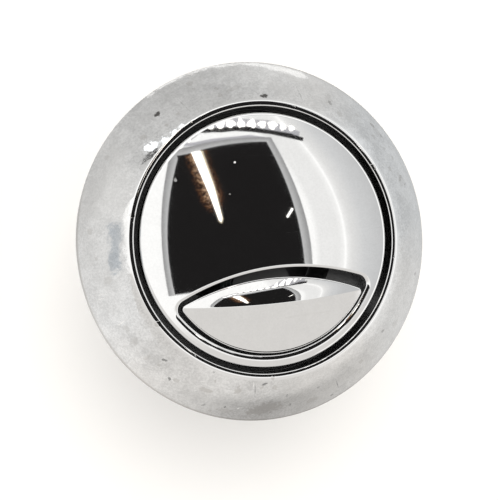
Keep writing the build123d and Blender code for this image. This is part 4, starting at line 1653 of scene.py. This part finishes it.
CARDS = [
    ("ceiling", "ceiling_glow", 6, [
        (-760, -800), (-760, 330), (-420, 500), (-200, 760), (500, 800), (1100, 500), (1100, -800),
    ]),
    ("cool_patch", "patch_blue_grey", 0, [
        (-1420, 400), (-1150, 330), (-800, 250), (-900, 100), (-860, -70), (-1350, -110), (-1300, 60),
        (-1120, 130),
    ]),
    ("panel_top_bar", "bar_grey", 1, [
        (80, 124), (120, 127), (168, 127), (197, 121), (199, 124), (169, 131), (119, 131), (84, 128),
    ]),
    ("strip_glow", "strip_brown_glow", -1, [(70, 114), (128, 119), (134, 20), (92, 18)]),
    ("strip_halo", "strip_cream", -2, [
        (90, 115.5), (103.5, 117), (112, 70), (116, 29), (113, 24), (110, 27), (103, 62),
    ]),
    ("strip_lamp", "lamp_white", -3, [
        (88.5, 116), (100.3, 117), (110, 70), (114.5, 31), (113, 26), (110, 29), (102.6, 62),
    ]),
    ("dash_lamp", "lamp_white", -1, [(200, 22), (202, 20.5), (211.5, 30.5), (209, 32)]),
    ("lamp_bar", "bar_grey", 1, [
        (70, 122), (96, 138), (150, 141), (196, 134), (236, 122), (240, 129), (198, 148), (150, 154),
        (96, 150), (66, 128),
    ]),
    ("lamp_bar_line", "panel_black", 0, [
        (88, 129), (104, 138.5), (120, 139), (132, 137.6), (151, 137.6), (171, 134.5), (198, 129),
        (225, 121), (241, 116), (243, 120.5), (226, 127.5), (200, 134), (172, 141), (151, 143.6),
        (106, 144.2), (86, 132),
    ]),
    ("side_lamp_line", "panel_black", -2, [(-610, 745), (-560, 690), (-400, 690), (-400, 735)]),
]
FLOOR_CARDS = [
    ("edge_glint", [
        (44, 190), (58, 176), (72, 162), (90, 152), (104, 144), (120, 152), (146, 188), (160, 222),
        (138, 226), (112, 218), (90, 206), (66, 208), (46, 214),
    ]),
    ("rim_glint", [
        (44, 190), (16, 200), (-28, 214), (-76, 234), (-86, 264), (-34, 242), (14, 228), (46, 214),
    ]),
]
ROW_LAMPS = [
    (75, 8, 6), (85, 10, 7), (95, 9, 6), (106, 9, 8), (119, 11, 9), (132, 12, 9), (146, 12, 9), (160, 10, 10),
    (174, 12, 10), (188, 10, 9), (202, 12, 10), (216, 8, 9), (228, 8, 7),
]
SIDE_LAMPS = [
    (-600, 940, 75, 320, 33), (-480, 835, 75, 190, 30), (-356, 795, 68, 150, 24), (-280, 835, 52, 130, 19),
    (-200, 850, 48, 130, 13), (-120, 840, 42, 110, 7),
]
STRIP_PLACE = (104 * MM, 71 * MM)
STRIP_TURN = radians(11.5)
STRIP_REACH = 22 * MM
BEND_STEPS = 12
BLOB_STEPS = 24


def glow_material(name):
    """Tree of a new material with only a glow, and the glow's inputs."""
    material = bpy.data.materials.new(name)
    material.use_nodes = True
    tree = material.node_tree
    tree.nodes.clear()
    glow = node(tree, "ShaderNodeEmission")
    feed(tree.nodes.new("ShaderNodeOutputMaterial").inputs["Surface"], glow)
    return tree, glow.socket.node.inputs


def place_card(name, mesh, glow):
    """Stage card with a glow, which only reflections see."""
    mesh.materials.append(bpy.data.materials[glow])
    piece = add_object(name, mesh)
    piece.visible_camera = False
    piece.visible_diffuse = False
    piece.visible_shadow = False


def card(name, glow, outline, height):
    """Flat stage card from an outline in millimetres."""
    mesh = bpy.data.meshes.new(name)
    points = [(x * MM, y * MM, height) for x, y in outline]
    mesh.from_pydata(points, [], [tuple(range(len(points)))])
    place_card(name, mesh, glow)


def graded_ring(name, glow, inner, outer, inner_tone, outer_tone, height):
    """Stage card between two outlines, with a tone that changes from one to the other."""
    count = len(inner)
    points = [(x * MM, y * MM, height) for x, y in inner + outer]
    mesh = bpy.data.meshes.new(name)
    mesh.from_pydata(points, [], between(range(count), range(count, 2 * count)))
    tones = mesh.attributes.new("tone", "FLOAT", "POINT")
    for i in range(count):
        tones.data[i].value = inner_tone
        tones.data[count + i].value = outer_tone
    place_card(name, mesh, glow)


def stops(value, tones):
    """Colour that runs through stops of (place from 0 to 1, tone, tint), as a share of the full tone."""
    mixed = node(value.tree, "ShaderNodeValToRGB", Fac=value)
    elements = mixed.socket.node.color_ramp.elements
    for index, (place, tone, tint) in enumerate(tones):
        if index == 0:
            element = elements[0]
        elif index == len(tones) - 1:
            element = elements[-1]
        else:
            element = elements.new(place)
        element.color = (*toned(tint, tone / FULL_TONE), 1.0)
    return mixed


def build_ceiling_glow():
    """Ceiling that is white to the left, greyer beyond a soft bright curve to the right, dimmer in front."""
    tree, glow = glow_material("ceiling_glow")
    parts = separate(object_place(tree))
    x = parts["X"] / MM
    y = parts["Y"] / MM
    bend = combine("POWER", y - CURVE_MIDDLE, 2.0) * CURVE_BEND
    field = stops((x - CURVE_REACH + bend) / CURVE_FIELD + CURVE_STOP, CEILING_TONES)
    field = mix_colour(ramp(y, -70.0, -135.0), field, toned(WARM, 1.18 / FULL_TONE))
    beyond = combine("MAXIMUM", ramp(x, 400.0, 470.0), ramp(y, 215.0, 290.0))
    feed_all(glow, Color=mix_colour(beyond, field, NEUTRAL), Strength=FULL_TONE)


def build_strip_glow():
    """Brown light round the strip lamp, broken into specks."""
    tree, glow = glow_material("strip_brown_glow")
    place = object_place(tree)
    along_strip = separate(node(
        tree, "ShaderNodeMapping", vector_type="TEXTURE", Vector=place, Rotation=(0, 0, STRIP_TURN),
        Location=(*STRIP_PLACE, settings().stage.card_height),
    ))
    x = along_strip["X"]
    level = ramp(noise(place, 340.0, 4.0, 0.8), 0.42, 0.64) * 1.5 + noise(place, 45.0) * 0.35
    level = level * ramp(combine("ABSOLUTE", x) / STRIP_REACH, 1.0, 0.1)
    level = level * ramp(along_strip["Y"], -38 * MM, -12 * MM)
    level = level * ramp(x, 1 * MM, 6 * MM, 1.0, 0.72)
    brown = mix_colour(ramp(level, 0.08, 0.55), BLACK, (0.20, 0.085, 0.04))
    feed_all(glow, Color=mix_colour(ramp(level, 0.5, 1.1), brown, (0.95, 0.62, 0.38)))


def build_glows():
    """Materials of the cards."""
    for name, (tint, strength) in PLAIN_GLOWS.items():
        tree, glow = glow_material(name)
        feed_all(glow, Color=(*tint, 1.0), Strength=strength)
    build_ceiling_glow()
    build_strip_glow()
    tree, glow = glow_material("card_tone")
    feed_all(glow, Strength=node(tree, "ShaderNodeAttribute", attribute_name="tone")["Fac"])


def bent_outline(sides):
    """Outline from sides of (start, bend, end), each a gentle curve."""
    outline = []
    for start, bend, end in sides:
        for k in range(BEND_STEPS):
            share = k / BEND_STEPS
            first = Vector(start).lerp(Vector(bend), share)
            second = Vector(bend).lerp(Vector(end), share)
            outline.append(tuple(first.lerp(second, share)))
    return outline


def blob_outline(x, y, width, depth, turn=0.0):
    """Uneven round outline about a place, turned by an angle in degrees."""
    outline = []
    lean = Matrix.Rotation(radians(turn), 2)
    for i in range(BLOB_STEPS):
        round_way = 2 * pi * i / BLOB_STEPS
        uneven = 1 + 0.16 * sin(3 * round_way + x) + 0.1 * sin(5 * round_way + 2 * x)
        reach = Vector((width * cos(round_way), depth * sin(round_way))) * uneven / 2
        outline.append(tuple(Vector((x, y)) + lean @ reach))
    return outline


def row_place(x):
    """Place of the row of small lamps on Y, which bends away to the right and drops at its left end."""
    if x < 106:
        return 146.7 - 0.72 * (106 - x)
    return 147.5 - 0.0014 * (x - 130) ** 2


def build_cards():
    """What the chrome reflects: ceiling, framed dark panel, strip lamp and two rows of small lamps."""
    build_glows()
    height = settings().stage.card_height
    near = height - 1 * MM
    panel = bent_outline(PANEL_SIDES)
    card("panel_dark", "panel_black", panel, height)
    graded_ring("panel_frame", "card_tone", panel, bent_outline(FRAME_SIDES), 1.0, 0.46, height)
    for name, glow, lift, outline in CARDS:
        card(name, glow, outline, height + lift * MM)
    for name, outline in FLOOR_CARDS:
        card(name, "floor_glint", outline, FLOOR_HEIGHT)
    for k, (x, width, depth) in enumerate(ROW_LAMPS):
        card(f"row_lamp_{k:02d}", "lamp_white", blob_outline(x, row_place(x), width, depth), near)
    for k, lamp in enumerate(SIDE_LAMPS):
        card(f"side_lamp_{k:02d}", "lamp_cold", blob_outline(*lamp), near)


def build_world():
    """Room whose tone changes slowly with the direction: bright to the left, grey behind, warm in front."""
    world = bpy.data.worlds.new("soft_room")
    world.use_nodes = True
    tree = world.node_tree
    parts = separate(node(tree, "ShaderNodeTexCoord")["Generated"])
    share = combine("ARCTAN2", parts["Y"], parts["X"]) / (2 * pi) + 0.5
    sides, low = (
        stops(share, [(degree / 360 + 0.5, tone, tint) for degree, tone, tint in tones])
        for tones in (ROOM_TONES, LOW_TONES)
    )
    lifted = vector_math("MULTIPLY", low, ramp(parts["Z"], -0.62, -0.42, 1.0, 1.17))
    overall = mix_colour(ramp(parts["Z"], 0.26, -0.04), sides, lifted)
    overall = mix_colour(ramp(parts["Z"], 0.6, 0.75), overall, toned(NEUTRAL, 1.04 / FULL_TONE))
    strength = FULL_TONE * settings().stage.room_light
    feed_all(tree.nodes["Background"].inputs, Color=overall, Strength=strength)
    bpy.context.scene.world = world


def build_floor():
    """Large pale floor with a faint unevenness."""
    tint = settings().stage.floor
    tree, shader = new_finish("pale_floor")
    base = mix_colour(noise(object_place(tree), 3.0, 3.0), tint, toned(tint, 1.02))
    feed_all(shader, Base_Color=base, Roughness=0.9, Specular_IOR_Level=0.1)
    mesh = bpy.data.meshes.new("floor")
    reach = 4.0
    level = FLOOR_HEIGHT - 0.02 * MM
    corners = ((-reach, -reach), (reach, -reach), (reach, reach), (-reach, reach))
    mesh.from_pydata([(*corner, level) for corner in corners], [], [(0, 1, 2, 3)])
    mesh.materials.append(bpy.data.materials["pale_floor"])
    floor = add_object("floor", mesh)
    floor.visible_glossy = False


def build_lights():
    """One large soft lamp from the upper left."""
    stage = settings().stage
    light = bpy.data.lights.new("soft_key", "AREA")
    light.shape = "DISK"
    light.size = stage.lamp_size
    light.energy = stage.lamp_power
    light.color = stage.lamp_tint
    lamp = add_object("soft_key", light)
    lamp.location = stage.lamp_place
    lamp.rotation_euler = (-lamp.location).to_track_quat("-Z", "Y").to_euler()
    lamp.visible_glossy = False


def build_camera():
    """Camera at the photograph's angle."""
    stage = settings().stage
    data = bpy.data.cameras.new("camera")
    data.lens = stage.lens
    data.sensor_width = 36.0
    data.clip_start = 0.01
    data.clip_end = 20.0
    camera = add_object("camera", data)
    right = Vector(stage.camera_right).normalized()
    back = right.cross(Vector(stage.camera_up)).normalized()
    turn = Matrix((right, back.cross(right), back)).transposed()
    camera.matrix_world = Matrix.Translation(stage.camera_place) @ turn.to_4x4()
    bpy.context.scene.camera = camera


# Operators, one for each piece or group of like pieces

class PUSHBUTTON_OT_finishes(bpy.types.Operator):
    """Make the materials of all the finishes"""

    bl_idname = "pushbutton.finishes"
    bl_label = "Finishes"

    def execute(self, context):
        build_finishes()
        return {"FINISHED"}


class PUSHBUTTON_OT_cover(bpy.types.Operator):
    """Make the chromed cover ring and its snap hooks"""

    bl_idname = "pushbutton.cover"
    bl_label = "Cover ring"

    def execute(self, context):
        build_cover()
        return {"FINISHED"}


class PUSHBUTTON_OT_full_flush_button(bpy.types.Operator):
    """Make the domed full flush button"""

    bl_idname = "pushbutton.full_flush_button"
    bl_label = "Full flush button"

    def execute(self, context):
        build_full_flush_button()
        return {"FINISHED"}


class PUSHBUTTON_OT_half_flush_button(bpy.types.Operator):
    """Make the creased half flush button"""

    bl_idname = "pushbutton.half_flush_button"
    bl_label = "Half flush button"

    def execute(self, context):
        build_half_flush_button()
        return {"FINISHED"}


class PUSHBUTTON_OT_moulded_pieces(bpy.types.Operator):
    """Make the moulded and pressed pieces with softened edges"""

    bl_idname = "pushbutton.moulded_pieces"
    bl_label = "Moulded pieces"

    def execute(self, context):
        build_moulded_pieces()
        return {"FINISHED"}


class PUSHBUTTON_OT_lid_seal(bpy.types.Operator):
    """Make the ribbed rubber seal"""

    bl_idname = "pushbutton.lid_seal"
    bl_label = "Lid seal"

    def execute(self, context):
        build_lid_seal()
        return {"FINISHED"}


class PUSHBUTTON_OT_threads(bpy.types.Operator):
    """Make the threads of the barrel, the backnut and the push rods"""

    bl_idname = "pushbutton.threads"
    bl_label = "Threads"

    def execute(self, context):
        build_threads()
        return {"FINISHED"}


class PUSHBUTTON_OT_springs(bpy.types.Operator):
    """Make the two return springs"""

    bl_idname = "pushbutton.springs"
    bl_label = "Return springs"

    def execute(self, context):
        build_springs()
        return {"FINISHED"}


class PUSHBUTTON_OT_screws(bpy.types.Operator):
    """Make the guide plate's screws"""

    bl_idname = "pushbutton.screws"
    bl_label = "Plate screws"

    def execute(self, context):
        build_screws()
        return {"FINISHED"}


class PUSHBUTTON_OT_stage(bpy.types.Operator):
    """Make the floor, the room, the light, the cards and the camera"""

    bl_idname = "pushbutton.stage"
    bl_label = "Stage"

    def execute(self, context):
        build_world()
        build_floor()
        build_lights()
        build_cards()
        build_camera()
        context.scene.view_settings.view_transform = "Standard"
        return {"FINISHED"}


OPERATORS = [
    PUSHBUTTON_OT_finishes, PUSHBUTTON_OT_cover, PUSHBUTTON_OT_full_flush_button,
    PUSHBUTTON_OT_half_flush_button, PUSHBUTTON_OT_moulded_pieces, PUSHBUTTON_OT_lid_seal,
    PUSHBUTTON_OT_threads, PUSHBUTTON_OT_springs, PUSHBUTTON_OT_screws, PUSHBUTTON_OT_stage,
]


class PUSHBUTTON_PT_panel(bpy.types.Panel):
    """Push button pieces"""

    bl_idname = "PUSHBUTTON_PT_panel"
    bl_label = "Push button"
    bl_space_type = "VIEW_3D"
    bl_region_type = "UI"
    bl_category = "Push button"

    def draw(self, context):
        for operator in OPERATORS:
            self.layout.operator(operator.bl_idname)


CLASSES = [
    CoverSizes, ButtonSizes, MechanismSizes, FinishColours, StageSettings, PushButtonSettings, *OPERATORS,
    PUSHBUTTON_PT_panel,
]


def register():
    """Register the classes and the scene's settings."""
    for item in CLASSES:
        bpy.utils.register_class(item)
    bpy.types.Scene.push_button = PointerProperty(type=PushButtonSettings)


def unregister():
    """Remove the settings and the classes."""
    del bpy.types.Scene.push_button
    for item in reversed(CLASSES):
        bpy.utils.unregister_class(item)


def main():
    """Make every piece, then the stage."""
    register()
    bpy.ops.pushbutton.finishes()
    bpy.ops.pushbutton.cover()
    bpy.ops.pushbutton.full_flush_button()
    bpy.ops.pushbutton.half_flush_button()
    bpy.ops.pushbutton.moulded_pieces()
    bpy.ops.pushbutton.lid_seal()
    bpy.ops.pushbutton.threads()
    bpy.ops.pushbutton.springs()
    bpy.ops.pushbutton.screws()
    bpy.ops.pushbutton.stage()


if __name__ == "__main__":
    main()
